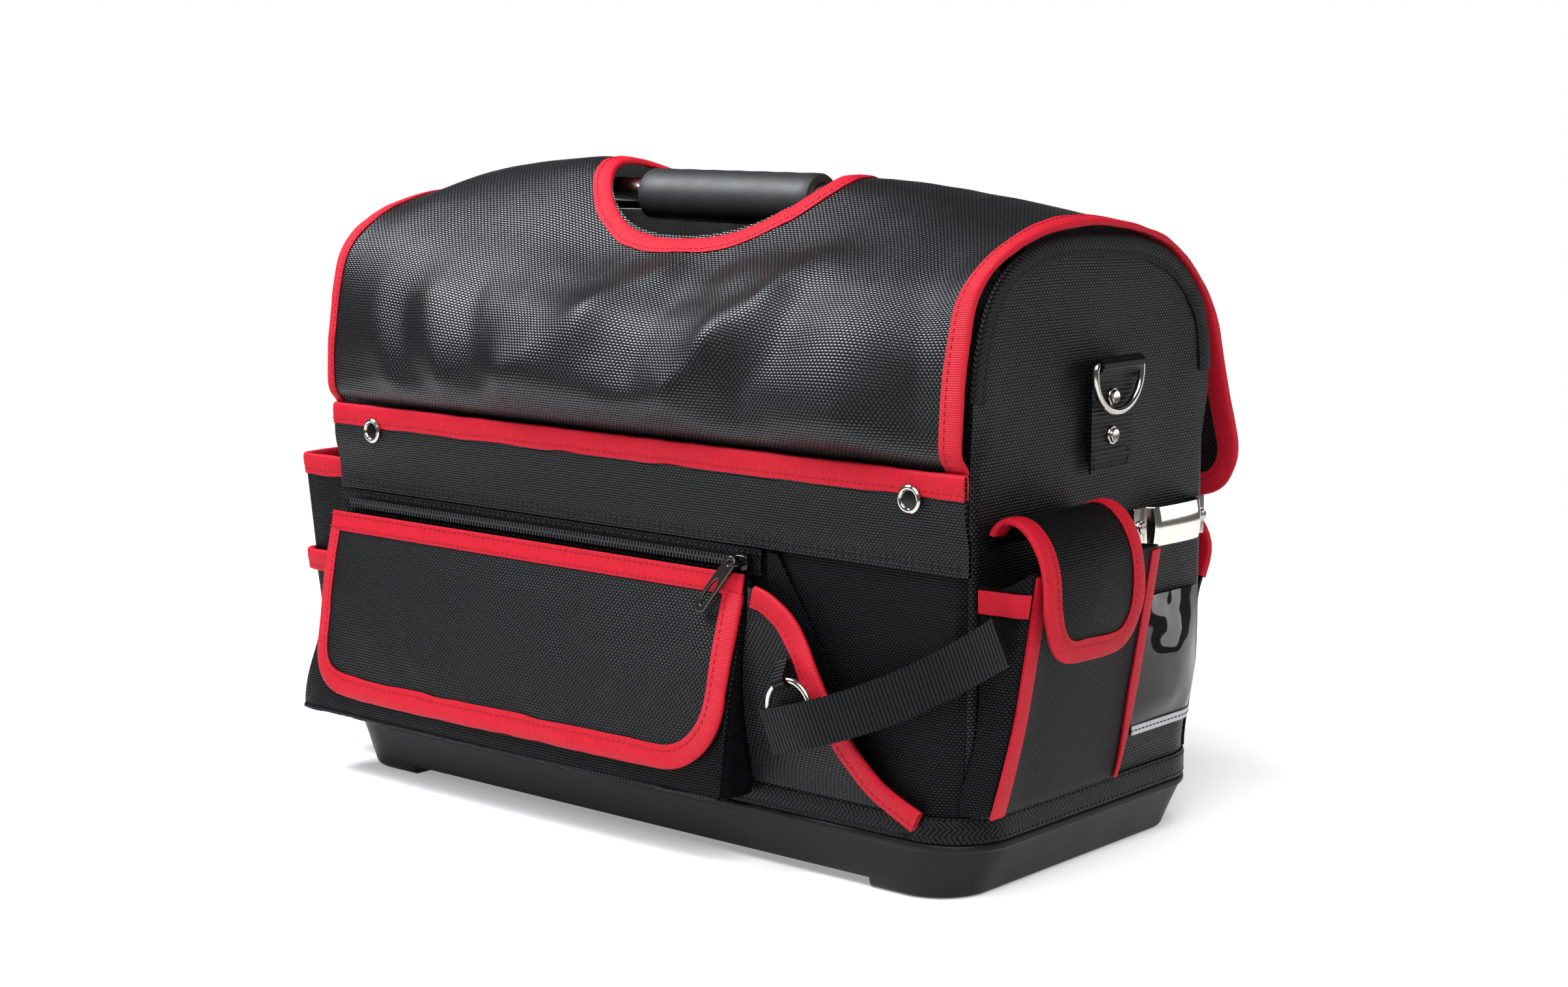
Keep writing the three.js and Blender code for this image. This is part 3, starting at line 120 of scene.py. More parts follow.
# The cover's cross-sections at its ends and at its middle, from the front hem over the top to the rear hem
COVER_ROWS = {
    "end_y": (
        -114.6, -114.7, -120.5, -121, -119.5, -114.5, -104.5, -83, -52, -24,
        -3, 18, 48, 79, 103, 120, 134, 147, 151,
    ),
    "end_z": (
        214, 229, 238, 252, 272, 299, 321, 338, 348.5, 352.5,
        354, 353.5, 349.5, 339, 319, 289, 249, 213, 185,
    ),
    "mid_y": (
        -114.6, -114.7, -124, -129, -127, -114, -90, -63, -38, -20,
        -5, 12, 34, 62, 90, 113, 134, 148, 152,
    ),
    "mid_z": (
        214, 229, 237, 250, 270, 294, 311, 328, 351, 367,
        373.5, 373, 365, 346, 323, 292, 252, 218, 188,
    ),
}
COVER = {
    "half": 244.5, "thickness": 1.6, "power": 2.6, "corner": 34.0,
    "row_length": 26.0, "last": 18.0, "row_step": 21.0, "crease": 1.1,
}
FOLD_POWER = 1.6
# Each fold: from (x, row) to (x, row), its width and how far it stands out
COVER_FOLDS = (
    (8, 6.3, -22, 5.0, 15, 3.6),
    (-22, 5.0, -78, 3.5, 17, 4.6),
    (-78, 3.5, 40, 3.2, 15, 2.6),
    (120, 6.6, 104, 5.7, 14, 3.2),
    (104, 5.7, 78, 4.7, 13, 4.6),
    (78, 4.7, 54, 3.5, 12, 4.2),
    (30, 5.4, 20, 4.0, 20, -3.4),
    (124, 4.6, 104, 3.6, 18, -4.4),
    (66, 6.4, 134, 6.5, 17, 3.4),
    (158, 6.6, 172, 3.2, 34, 4.4),
    (212, 6.8, 216, 3.8, 20, -3.2),
    (-198, 4.4, -180, 2.8, 14, 2.6),
    (-156, 4.9, -134, 3.2, 15, 3.2),
    (-122, 5.2, -100, 3.4, 16, -2.4),
    (-176, 4.6, -160, 3.2, 12, -2.0),
)


def place(points):
    """Millimetres in the bag's frame as metres in the shared frame."""
    return np.asarray(points, float) / 1000 + ORIGIN


def leaned(points):
    """The left end leans in above the base; the arched top settles and stands up at the left."""
    points = np.array(points, float)
    x, y, z = points[..., 0].copy(), points[..., 1].copy(), points[..., 2].copy()
    height = smooth(share(z, LEAN["low"], LEAN["high"]))
    rear = mix(0.45, 1, smooth((y + 40) / 90))
    left = smooth((-x - 45) / 80) * mix(1, 0.35, smooth((-x - 205) / 40))

    def settled(way):
        by, start, span = SETTLE[way]
        return by * smooth((z - start) / span)

    points[..., 0] += LEAN["by"] * height * np.clip(-x / HALF_LENGTH, 0, 1)
    points[..., 1] -= settled("sway")
    points[..., 2] -= settled("drop") * rear
    points[..., 2] += settled("rise") * left
    return points


def smooth(t):
    t = np.clip(t, 0, 1)
    return t * t * (3 - 2 * t)


def mix(a, b, t):
    return a + (b - a) * t


def vec3(x, y, z):
    return np.stack(np.broadcast_arrays(np.asarray(x, float), y, z), axis=-1)


def paired(a, b):
    """Two values as arrays of one shape."""
    return np.broadcast_arrays(np.asarray(a, float), b)


def share(value, low, high, most=1):
    """How far a value is from low to high, from 0 to the most."""
    return np.clip((value - low) / (high - low), 0, most)


def circle(count):
    """Angles once round."""
    return np.linspace(0, 2 * math.pi, count, endpoint=False)


def step_lengths(points):
    return np.linalg.norm(np.diff(points, axis=0), axis=1)


def run_along(points):
    """The length from the first point to each point."""
    return np.concatenate([[0], np.cumsum(step_lengths(points))])


def unit(v):
    return v / np.maximum(np.linalg.norm(v, axis=-1, keepdims=True), 1e-9)


def through(values, s):
    """A smooth curve through table rows, read at fractional row numbers."""
    values = np.asarray(values, float)
    last = len(values) - 1
    s = np.asarray(s, float)
    i = np.clip(np.floor(s).astype(int), 0, last - 1)
    t = s - i
    p, q, r, u = (values[np.clip(i + k, 0, last)] for k in (-1, 0, 1, 2))
    if values.ndim > 1:
        t = t.reshape(t.shape + (1,) * (values.ndim - 1))
    bend = (2 * p - 5 * q + 4 * r - u) * t**2 + (3 * q - p - 3 * r + u) * t**3
    return q + ((r - p) * t + bend) / 2


def refined(grid, rows, columns):
    """A finer grid on the smooth surface through a coarse one."""
    grid = through(grid, np.linspace(0, len(grid) - 1, rows))
    turned = through(np.swapaxes(grid, 0, 1), np.linspace(0, grid.shape[1] - 1, columns))
    return np.swapaxes(turned, 0, 1)


def value_noise(u, v, seed):
    """Smooth noise from -1 to 1 on a unit lattice."""
    u, v = paired(u, v)
    i, j = np.floor(u).astype(np.int64), np.floor(v).astype(np.int64)
    fu, fv = smooth(u - i), smooth(v - j)

    def lattice(a, b):
        n = (a * 374761393 + b * 668265263 + seed * 362437) & 0xFFFFFFFF
        n = ((n ^ (n >> 13)) * 1274126177) & 0xFFFFFFFF
        return ((n ^ (n >> 16)) & 0xFFFF) / 32767.5 - 1

    low = mix(lattice(i, j), lattice(i + 1, j), fu)
    high = mix(lattice(i, j + 1), lattice(i + 1, j + 1), fu)
    return mix(low, high, fv)


def crumple(u, v, size, seed):
    """Small soft creases of cloth, from about -1 to 1."""
    drift = 0.6 * value_noise(u / size / 1.7, v / size / 1.7, seed + 5)
    broad = value_noise(u / size + drift, v / size, seed)
    fine = 1 - 2 * np.abs(value_noise(u / size * 1.9, v / size * 1.9 + drift, seed + 1))
    return 0.6 * broad + 0.4 * fine


# Mesh makers
UPRIGHT = ("handle_frame_looks", "handle_grip_looks", "studio_floor")


def new_piece(name, points, faces, uvs=None, sharp=35):
    mesh = bpy.data.meshes.new(name)
    spots = points if name in UPRIGHT else leaned(points)
    mesh.from_pydata(place(spots).tolist(), [], faces)
    if uvs is not None:
        layer = mesh.uv_layers.new(name="cloth")
        corners = np.empty(len(mesh.loops), int)
        mesh.loops.foreach_get("vertex_index", corners)
        layer.data.foreach_set("uv", uvs[corners].astype(np.float32).ravel())
    mesh.shade_smooth()
    mesh.set_sharp_from_angle(angle=math.radians(sharp))
    mesh.update()
    piece = bpy.data.objects.new(name, mesh)
    bpy.context.collection.objects.link(piece)
    return piece


def grid_normals(grid, closed=False):
    if closed:
        across = np.roll(grid, -1, axis=1) - np.roll(grid, 1, axis=1)
    else:
        across = np.gradient(grid, axis=1)
    return unit(np.cross(across, np.gradient(grid, axis=0)))


def grid_uv(grid):
    """Lengths along a grid's rows and down its middle column, in metres."""
    rows, columns = grid.shape[:2]
    step = np.linalg.norm(np.diff(grid, axis=1), axis=2)
    u = np.concatenate([np.zeros((rows, 1)), np.cumsum(step, axis=1)], axis=1)
    u -= u[:, columns // 2 : columns // 2 + 1]
    v = run_along(grid[:, columns // 2])
    return np.stack([u, np.repeat(v[:, None], columns, axis=1)], axis=-1) / 1000


def wall(name, grid, thickness, closed=False):
    """A cloth wall of even thickness about a grid of points, with its lengths as the UV map."""
    rows, columns = grid.shape[:2]
    normal = grid_normals(grid, closed)
    points = np.concatenate([grid + normal * thickness / 2, grid - normal * thickness / 2]).reshape(-1, 3)
    uvs = np.tile(grid_uv(grid).reshape(-1, 2), (2, 1))
    ids = np.arange(rows * columns).reshape(rows, columns)
    if closed:
        ids = np.concatenate([ids, ids[:, :1]], axis=1)
    a, b, c, d = ids[:-1, :-1], ids[:-1, 1:], ids[1:, 1:], ids[1:, :-1]
    inner = rows * columns
    outer_faces = np.stack([a, b, c, d], axis=-1).reshape(-1, 4)
    inner_faces = np.stack([d, c, b, a], axis=-1).reshape(-1, 4) + inner
    first, last = ids[0], ids[-1]
    rims = [(first[1:], first[:-1]), (last[:-1], last[1:])]
    if not closed:
        rims += [(ids[:-1, 0], ids[1:, 0]), (ids[1:, -1], ids[:-1, -1])]
    edges = [np.stack([p, q, q + inner, p + inner], axis=-1) for p, q in rims]
    faces = np.concatenate([outer_faces, inner_faces, *edges])
    return new_piece(name, points, faces.tolist(), uvs)


def loft(name, rings, closed=False, uvs=None, sharp=35):
    """A solid through rings of points, with end faces where it is open."""
    count, sides = rings.shape[:2]
    ids = np.arange(count * sides).reshape(count, sides)
    if closed:
        ids = np.concatenate([ids, ids[:1]])
    turn = np.roll(ids, -1, axis=1)
    faces = np.stack([ids[:-1], turn[:-1], turn[1:], ids[1:]], axis=-1).reshape(-1, 4).tolist()
    if not closed:
        faces += [ids[0][::-1].tolist(), ids[-1].tolist()]
    points = rings.reshape(-1, 3)
    tris = np.array([f[:3] for f in faces] + [[f[0], f[2], f[3]] for f in faces if len(f) == 4])
    p, q, r = (points[tris[:, k]] for k in range(3))
    if np.sum(p * np.cross(q, r)) < 0:
        faces = [face[::-1] for face in faces]
    return new_piece(name, points, faces, None if uvs is None else uvs.reshape(-1, 2), sharp)


def surface_frame(surface, a, b):
    step = 0.02
    along_a = (surface(a + step, b) - surface(a - step, b)) / (2 * step)
    along_b = (surface(a, b + step) - surface(a, b - step)) / (2 * step)
    return surface(a, b), along_a, along_b, unit(np.cross(along_a, along_b))


def route_of(rows):
    """Rows of (a, b, way in along a, way in along b) as four arrays."""
    return tuple(np.array(column, float) for column in zip(*rows))


def resampled(route, pitch, surface, closed=False):
    """A route's rows at an even pitch along the surface."""
    rows = np.stack(route, axis=1)
    if closed:
        rows = np.concatenate([rows, rows[:1]])
    spots = surface(rows[:, 0], rows[:, 1])
    run = run_along(spots)
    count = max(int(run[-1] / pitch), 4)
    at = np.linspace(0, run[-1], count + 1)
    if closed:
        at = at[:-1]
    return tuple(np.interp(at, run, rows[:, k]) for k in range(4))


class Tape:
    """A folded tape round a sheet's edge, and the line of stitches through it."""

    STITCH = 0.72
    # How far in from the edge each point lies, and how far it stands out
    DEPTHS = (1.0, 0.88, STITCH, 0.5, 0.25, 0.08)
    PUFFS = (-0.25, 0.05, -0.2, 0.2, 0.25, 0.12)
    TURNS = np.radians((20, 50, 90, 130, 160))

    def __init__(self, surface, route, sheet, width, closed=False, thickness=0.9, clear=0.15, gather=9.0):
        a, b, in_a, in_b = route
        edge, along_a, along_b, normal = surface_frame(surface, a, b)
        slope = along_a * in_a[:, None] + along_b * in_b[:, None]
        reach = width / np.linalg.norm(slope, axis=1)
        for _ in range(3):
            far = surface(a + in_a * reach, b + in_b * reach)
            reach = reach * width / np.linalg.norm(far - edge, axis=1)
        inward = unit(slope)
        self.closed = closed
        low = sheet / 2 + clear
        run = run_along(edge)
        reach = reach * (1 + 0.05 * value_noise(run / 17, 0.0, 91))
        high = (low + thickness + 0.28 * value_noise(run / gather, 0.0, 92))[:, None]

        def level(t, height):
            spot, _, _, up = surface_frame(surface, a + in_a * reach * t, b + in_b * reach * t)
            return spot + up * height

        def layer(height, puffs):
            rows = list(zip(self.DEPTHS, puffs))
            front = [level(t, height + p) for t, p in rows]
            fold = [edge + (normal * math.cos(k) - inward * math.sin(k)) * height for k in self.TURNS]
            return front + fold + [level(t, -height - p) for t, p in rows[::-1]]

        inner = layer(low, [0.0] * len(self.DEPTHS))
        self.rings = np.stack(layer(high, self.PUFFS) + inner[::-1], axis=1)
        self.front_seam = level(self.STITCH, high - 0.05)
        self.rear_seam = level(self.STITCH, -high + 0.05)
        sewn_a, sewn_b = a + in_a * reach * self.STITCH, b + in_b * reach * self.STITCH
        self.up = surface_frame(surface, sewn_a, sewn_b)[3]

    def piece(self, name):
        count, sides = self.rings.shape[:2]
        u = run_along(self.rings[:, sides // 4])
        v = run_along(self.rings[count // 2])
        uvs = np.stack(np.meshgrid(u, v, indexing="ij"), axis=-1) / 1000
        return loft(name, self.rings, self.closed, uvs, sharp=60)

    def seams(self):
        return [(self.front_seam, self.up, self.closed), (self.rear_seam, -self.up, self.closed)]


def strap_grid(path, across, width, columns):
    """A strap's rows of points: one row along each line of its length."""
    sides = np.linspace(-0.5, 0.5, columns)
    return path[None, :, :] + unit(np.asarray(across, float)) * (sides[:, None, None] * width)


def bar(name, path, plane_normal, radius, sides=16, closed=False):
    """A round bar along a path that lies in one plane."""
    if closed:
        along = np.roll(path, -1, axis=0) - np.roll(path, 1, axis=0)
    else:
        along = np.gradient(path, axis=0)
    side = unit(np.cross(plane_normal, along))
    turn = circle(sides)
    cos, sin = (wave[None, :, None] for wave in (np.cos(turn), np.sin(turn)))
    out = side[:, None, :] * cos + np.asarray(plane_normal) * sin
    return loft(name, path[:, None, :] + out * radius, closed)


def turned(name, profile, spot, axis, sides=32):
    """A turned piece from rows of radius and height along an axis."""
    axis = Vector(axis)
    turn = np.array(Vector((0, 0, 1)).rotation_difference(axis).to_matrix())
    angle = circle(sides)
    rows = [vec3(r * np.cos(angle), r * np.sin(angle), h) for r, h in profile]
    return loft(name, np.stack(rows) @ turn.T + np.asarray(spot, float), sharp=30)


def applied(piece, *modifiers):
    """The piece with these modifiers made into its mesh."""
    for kind, settings in modifiers:
        modifier = piece.modifiers.new(kind.lower(), kind)
        for key, value in settings.items():
            setattr(modifier, key, value)
    graph = bpy.context.evaluated_depsgraph_get()
    mesh = bpy.data.meshes.new_from_object(piece.evaluated_get(graph))
    piece.modifiers.clear()
    piece.data = mesh
    return piece


def bevelled(piece, width, angle):
    """The piece with its edges sharper than the angle rounded off."""
    edge = {"width": width, "segments": 2, "limit_method": "ANGLE", "angle_limit": math.radians(angle)}
    return applied(piece, ("BEVEL", edge))


def cut(piece, tool):
    """The piece without the space that the tool takes up."""
    applied(piece, ("BOOLEAN", {"object": tool, "operation": "DIFFERENCE", "solver": "EXACT"}))
    bpy.data.objects.remove(tool)


def shaded(piece, sharp):
    piece.data.shade_smooth()
    piece.data.set_sharp_from_angle(angle=math.radians(sharp))


def fasten(piece, nodes, material, body=ROOT):
    """The piece takes its material, rides on its body and stands for its nodes."""
    piece.data.materials.clear()
    piece.data.materials.append(material)
    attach(piece, body)
    if nodes:
        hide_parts(*nodes)
    return piece


# Node helpers
class Net:
    """A node tree that is built by short calls."""

    def __init__(self, tree):
        self.tree = tree

    def feed(self, socket, value):
        if isinstance(value, bpy.types.NodeSocket):
            self.tree.links.new(value, socket)
        else:
            socket.default_value = value

    def add(self, kind, given=None, **settings):
        """A new node with its settings, and with values or sockets in its inputs."""
        node = self.tree.nodes.new(kind)
        for key, value in settings.items():
            setattr(node, key, value)
        for key, value in (given or {}).items():
            self.feed(node.inputs[key], value)
        return node

    def math(self, operation, *values):
        return self.add("ShaderNodeMath", dict(enumerate(values)), operation=operation).outputs[0]

    def split(self, vector):
        return self.add("ShaderNodeSeparateXYZ", {0: vector}).outputs

    def ranged(self, value, low, high, least=0.0):
        """A value as the least at low and 1 at high."""
        return self.add("ShaderNodeMapRange", {0: value, 1: low, 2: high, 3: least}).outputs[0]

    def noise(self, vector, scale, detail=3.0, rough=0.55):
        given = {"Vector": vector, "Scale": scale, "Detail": detail, "Roughness": rough}
        return self.add("ShaderNodeTexNoise", given).outputs["Fac"]

    def mixed(self, amount, low, high):
        node = self.add("ShaderNodeMix", {"Factor": amount}, data_type="RGBA")
        for k, colour in ((6, low), (7, high)):
            self.feed(node.inputs[k], colour if isinstance(colour, bpy.types.NodeSocket) else (*colour, 1))
        return node.outputs[2]

    def group(self, name, vector, **values):
        """A shared group, made when it is first asked for."""
        if name not in GROUPS:
            GROUPS[name] = GROUP_MAKERS[name]()
        return self.add("ShaderNodeGroup", {"Vector": vector, **values}, node_tree=GROUPS[name]).outputs


class Group(Net):
    """A shared shader group: a vector and some numbers in, and numbers out."""

    def __init__(self, name, outputs, **inputs):
        super().__init__(bpy.data.node_groups.new(name, "ShaderNodeTree"))
        face = self.tree.interface
        face.new_socket("Vector", in_out="INPUT", socket_type="NodeSocketVector")
        for socket, default in inputs.items():
            face.new_socket(socket, in_out="INPUT", socket_type="NodeSocketFloat").default_value = default
        for socket in outputs:
            face.new_socket(socket, in_out="OUTPUT", socket_type="NodeSocketFloat")
        self.given = self.tree.nodes.new("NodeGroupInput").outputs
        self.result = self.tree.nodes.new("NodeGroupOutput").inputs

    def done(self, **results):
        for key, value in results.items():
            self.feed(self.result[key], value)
        return self.tree


def weave_group():
    """Rows of oval threads, each row set half a thread along from the one below."""
    net = Group("Weave", ("Height", "ShadeAndTone"), Thread=0.0022, Row=0.0013)
    x, y, _ = net.split(net.given["Vector"])
    v = net.math("DIVIDE", y, net.given["Row"])
    row = net.math("FLOOR", v)
    shift = net.math("MULTIPLY", net.math("FLOORED_MODULO", row, 2.0), 0.5)
    u = net.math("ADD", net.math("DIVIDE", x, net.given["Thread"]), shift)

    def bulge(t):
        centred = net.math("MULTIPLY_ADD", net.math("FRACT", t), 2.0, -1.0)
        return net.math("SUBTRACT", 1.0, net.math("MULTIPLY", centred, centred))

    height = net.math("POWER", net.math("MULTIPLY", bulge(u), bulge(v)), 0.85)
    cell = net.add("ShaderNodeCombineXYZ", {0: net.math("FLOOR", u), 1: row}).outputs[0]
    speck = net.add("ShaderNodeTexWhiteNoise", {"Vector": cell}, noise_dimensions="2D").outputs["Value"]
    # Tone follows the thread's height: painted shade in the gaps and a painted highlight on the crowns, with
    # a little random tone per thread.
    shade_and_tone = net.math("MULTIPLY_ADD", height, 0.85, net.math("MULTIPLY", speck, 0.15))
    return net.done(Height=height, ShadeAndTone=shade_and_tone)


def rib_group():
    """Ribs across a woven tape, with fine threads along it."""
    net = Group("Ribs", ("Height", "ShadeAndTone"), Pitch=0.0011, Slant=0.0)
    x, y, _ = net.split(net.given["Vector"])
    across = net.math("PINGPONG", y, 0.004)
    u = net.math("MULTIPLY_ADD", across, net.given["Slant"], x)
    wave = net.math("DIVIDE", net.math("MULTIPLY", u, math.pi), net.given["Pitch"])
    rib = net.math("ABSOLUTE", net.math("SINE", wave))
    thread = net.math("SINE", net.math("MULTIPLY", y, 2 * math.pi / 0.0008))
    blotch = net.math("MULTIPLY", net.noise(net.given["Vector"], 220.0), 0.45)
    # Tone from the rib's height: painted shade between the ribs; the blotches are random tone.
    shade_and_tone = net.math("MULTIPLY_ADD", rib, 0.55, blotch)
    return net.done(Height=net.math("MULTIPLY_ADD", thread, 0.12, rib), ShadeAndTone=shade_and_tone)


def grain_group():
    """Fine moulded or foamed grain with broad unevenness."""
    net = Group("Grain", ("Height", "ShadeAndTone"), Scale=900.0)
    vector, scale = net.given["Vector"], net.given["Scale"]
    broad = net.math("MULTIPLY", scale, 0.03)
    return net.done(Height=net.noise(vector, scale, 2.0), ShadeAndTone=net.noise(vector, broad, 4.0))


def wear_group():
    """Rubbed and dusty places."""
    net = Group("Wear", ("Mask",), Scale=30.0)
    cloud = net.noise(net.given["Vector"], net.given["Scale"], 6.0, 0.65)
    patch = net.math("MULTIPLY_ADD", cloud, 4.0, -2.0)
    return net.done(Mask=net.math("SMOOTH_MAX", patch, 0.0, 0.2))


GROUPS = {}
GROUP_MAKERS = {"Weave": weave_group, "Ribs": rib_group, "Grain": grain_group, "Wear": wear_group}


class Paint(Net):
    """A material's nodes."""

    def __init__(self, name):
        self.material = bpy.data.materials.new(name)
        self.material.use_nodes = True
        super().__init__(self.material.node_tree)

    def cloth_vector(self):
        return self.add("ShaderNodeUVMap", uv_map="cloth").outputs["UV"]

    def object_vector(self):
        return self.add("ShaderNodeTexCoord").outputs["Object"]

    def bump(self, height, strength, distance):
        given = {"Strength": strength, "Distance": distance, "Height": height}
        return self.add("ShaderNodeBump", given).outputs["Normal"]

    def done(self, values):
        shader = self.tree.nodes["Principled BSDF"]
        for key, value in values.items():
            self.feed(shader.inputs[key], value)
        return self.material


def scaled(colour, k):
    return tuple(min(channel * k, 1.0) for channel in colour)


WEAVE_ROW = 0.62


def cloth_material(name, colour, thread, gloss, lift, mirror):
    """Woven cloth: shiny threads, with painted shade in the gaps between them: a darker colour and no
    reflection there.
    """
    net = Paint(name)
    weave = net.group("Weave", net.cloth_vector(), Thread=thread, Row=thread * WEAVE_ROW)
    shade_and_tone, height = weave["ShadeAndTone"], weave["Height"]
    # Metallic with a near-black colour where the threads dip: painted shade that kills the reflection in the
    # gaps.
    gap = net.math("SMOOTH_MAX", net.math("MULTIPLY_ADD", height, -2.0, 1.3), 0.0, 0.2)
    return net.done({
        # Colour from the thread's height: painted shade in the gaps, painted highlight on the crowns.
        "Base Color": net.mixed(shade_and_tone, scaled(colour, 0.02), scaled(colour, 2.4)),
        "Roughness": net.math("MULTIPLY_ADD", shade_and_tone, -0.15, gloss + 0.1),
        "Metallic": net.math("MINIMUM", gap, 1.0),
        "Normal": net.bump(height, 0.8, lift),
        "Specular IOR Level": mirror,
    })


def tape_material(name, colour, pitch, gloss, slant=0.0, depth=0.55, gap_shade=0.0):
    """Ribbed tape with painted shade between its ribs: a darker colour there and, where asked for, no gloss.
    """
    net = Paint(name)
    ribs = net.group("Ribs", net.cloth_vector(), Pitch=pitch, Slant=slant)
    looks = {
        # Darker colour between the ribs, down to depth times the colour: painted shade.
        "Base Color": net.mixed(ribs["ShadeAndTone"], scaled(colour, depth), scaled(colour, 1.12)),
        "Roughness": net.math("MULTIPLY_ADD", ribs["ShadeAndTone"], -0.12, gloss),
        "Normal": net.bump(ribs["Height"], 0.6, 0.0004),
        "Specular IOR Level": 0.2,
    }
    # No gloss between the ribs: painted shade.
    if gap_shade:
        gap = net.math("MAXIMUM", net.math("SUBTRACT", 1.0, ribs["Height"]), 0.0)
        looks["Metallic"] = net.math("MULTIPLY", gap, gap_shade)
    return net.done(looks)


def grain_material(name, colour, scale, gloss, lift, metal=0.0, wear=0.0, spread=0.25, mirror=0.5):
    """Plastic, foam or metal with a fine grain, rubbed where it is worn."""
    net = Paint(name)
    spot = net.object_vector()
    grain = net.group("Grain", spot, Scale=scale)
    body = net.mixed(grain["ShadeAndTone"], scaled(colour, 1 - spread), scaled(colour, 1 + spread))
    rough = net.math("MULTIPLY_ADD", grain["ShadeAndTone"], 0.14, gloss - 0.07)
    if wear:
        amount = net.math("MULTIPLY", net.group("Wear", spot, Scale=35.0)["Mask"], wear)
        body = net.mixed(amount, body, scaled(colour, 2.6))
        rough = net.math("MULTIPLY_ADD", amount, 0.3, rough)
    looks = {"Base Color": body, "Roughness": rough, "Metallic": metal, "Specular IOR Level": mirror}
    if lift:
        looks["Normal"] = net.bump(grain["Height"], 0.35, lift)
    return net.done(looks)


def film_material(name):
    """Thin clear film: a little haze and a strong gloss."""
    net = Paint(name)
    shade_and_tone = net.group("Grain", net.object_vector(), Scale=60.0)["ShadeAndTone"]
    return net.done({
        "Base Color": net.mixed(shade_and_tone, (0.003, 0.003, 0.003), (0.006, 0.006, 0.006)),
        "Roughness": net.math("MULTIPLY_ADD", shade_and_tone, 0.05, 0.02),
        "Alpha": 0.88,
        "Specular IOR Level": 0.6,
    })


# Geometry Nodes
class Grower(Net):
    """A Geometry Nodes tree that sets a bead at an even pitch along lines."""

    def __init__(self, name, **inputs):
        super().__init__(bpy.data.node_groups.new(name, "GeometryNodeTree"))
        face = self.tree.interface
        face.new_socket("Geometry", in_out="INPUT", socket_type="NodeSocketGeometry")
        for socket, default in inputs.items():
            face.new_socket(socket, in_out="INPUT", socket_type="NodeSocketFloat").default_value = default
        face.new_socket("Geometry", in_out="OUTPUT", socket_type="NodeSocketGeometry")
        self.given = self.tree.nodes.new("NodeGroupInput").outputs
        self.result = self.tree.nodes.new("NodeGroupOutput").inputs

    def bead(self, kind, form, size, turn=(0, 0, 0)):
        made = self.add(kind, form).outputs["Mesh"]
        scale = self.add("ShaderNodeCombineXYZ", dict(enumerate(size))).outputs[0]
        given = {"Geometry": made, "Rotation": turn, "Scale": scale}
        return self.add("GeometryNodeTransform", given).outputs[0]

    def along_line(self):
        """Turns a bead's X along its line and its Z along the attribute up."""
        align = "FunctionNodeAlignRotationToVector"
        tangent = self.add("GeometryNodeInputTangent").outputs[0]
        up = self.add("GeometryNodeInputNamedAttribute", {"Name": "up"}, data_type="FLOAT_VECTOR")
        along = self.add(align, {"Vector": tangent}, axis="X").outputs[0]
        given = {"Rotation": along, "Vector": up.outputs["Attribute"]}
        return self.add(align, given, axis="Z", pivot_axis="X").outputs[0]

    def repeated(self, bead, material):
        """Sets the bead along the lines and makes the result one mesh."""
        curve = self.add("GeometryNodeMeshToCurve", {"Mesh": self.given["Geometry"]}).outputs[0]
        pitch = {"Curve": curve, "Length": self.given["Pitch"]}
        even = self.add("GeometryNodeResampleCurve", pitch, mode="LENGTH").outputs[0]
        given = {"Points": even, "Instance": bead, "Rotation": self.along_line()}
        spots = self.add("GeometryNodeInstanceOnPoints", given).outputs[0]
        real = self.add("GeometryNodeRealizeInstances", {0: spots}).outputs[0]
        painted = self.add("GeometryNodeSetMaterial", {"Geometry": real, "Material": material}).outputs[0]
        self.feed(self.result["Geometry"], painted)
        return self.tree


def stitch_tree(material):
    net = Grower("Stitches", Pitch=0.0042, Length=0.0032, Thread=0.0008)
    thread = net.given["Thread"]
    size = (net.given["Length"], thread, net.math("MULTIPLY", thread, 0.7))
    ball = net.bead("GeometryNodeMeshUVSphere", {"Segments": 8, "Rings": 4, "Radius": 0.5}, size)
    return net.repeated(net.add("GeometryNodeSetShadeSmooth", {"Geometry": ball}).outputs[0], material)


def teeth_tree(material):
    net = Grower("Zip Teeth", Pitch=0.0024, Width=0.0032, Tooth=0.0013)
    tooth = net.given["Tooth"]
    size = (tooth, net.math("MULTIPLY", tooth, 1.3), net.given["Width"])
    form = {"Vertices": 8, "Radius": 0.5, "Depth": 1.0}
    return net.repeated(net.bead("GeometryNodeMeshCylinder", form, size, (math.pi / 2, 0, 0)), material)


def line_mesh(name, lines):
    """Lines of points, each with the way up from the cloth, as one mesh of edges."""
    points, ups, edges = [], [], []
    for spots, up, closed in lines:
        start = len(points)
        count = len(spots)
        points += place(leaned(spots)).tolist()
        ups += np.broadcast_to(up, spots.shape).tolist()
        edges += [(start + k, start + k + 1) for k in range(count - 1)]
        if closed:
            edges.append((start + count - 1, start))
    mesh = bpy.data.meshes.new(name)
    mesh.from_pydata(points, edges, [])
    attribute = mesh.attributes.new("up", "FLOAT_VECTOR", "POINT")
    attribute.data.foreach_set("vector", np.array(ups, np.float32).ravel())
    piece = bpy.data.objects.new(name, mesh)
    bpy.context.collection.objects.link(piece)
    return piece


def grown(name, lines, tree, values):
    """The mesh that a Geometry Nodes tree makes on some lines."""
    piece = line_mesh(name, lines)
    modifier = piece.modifiers.new("grow", "NODES")
    modifier.node_group = tree
    for item in tree.interface.items_tree:
        if item.in_out == "INPUT" and item.name in values:
            modifier[item.identifier] = values[item.name]
    return applied(piece)


TREES = {}


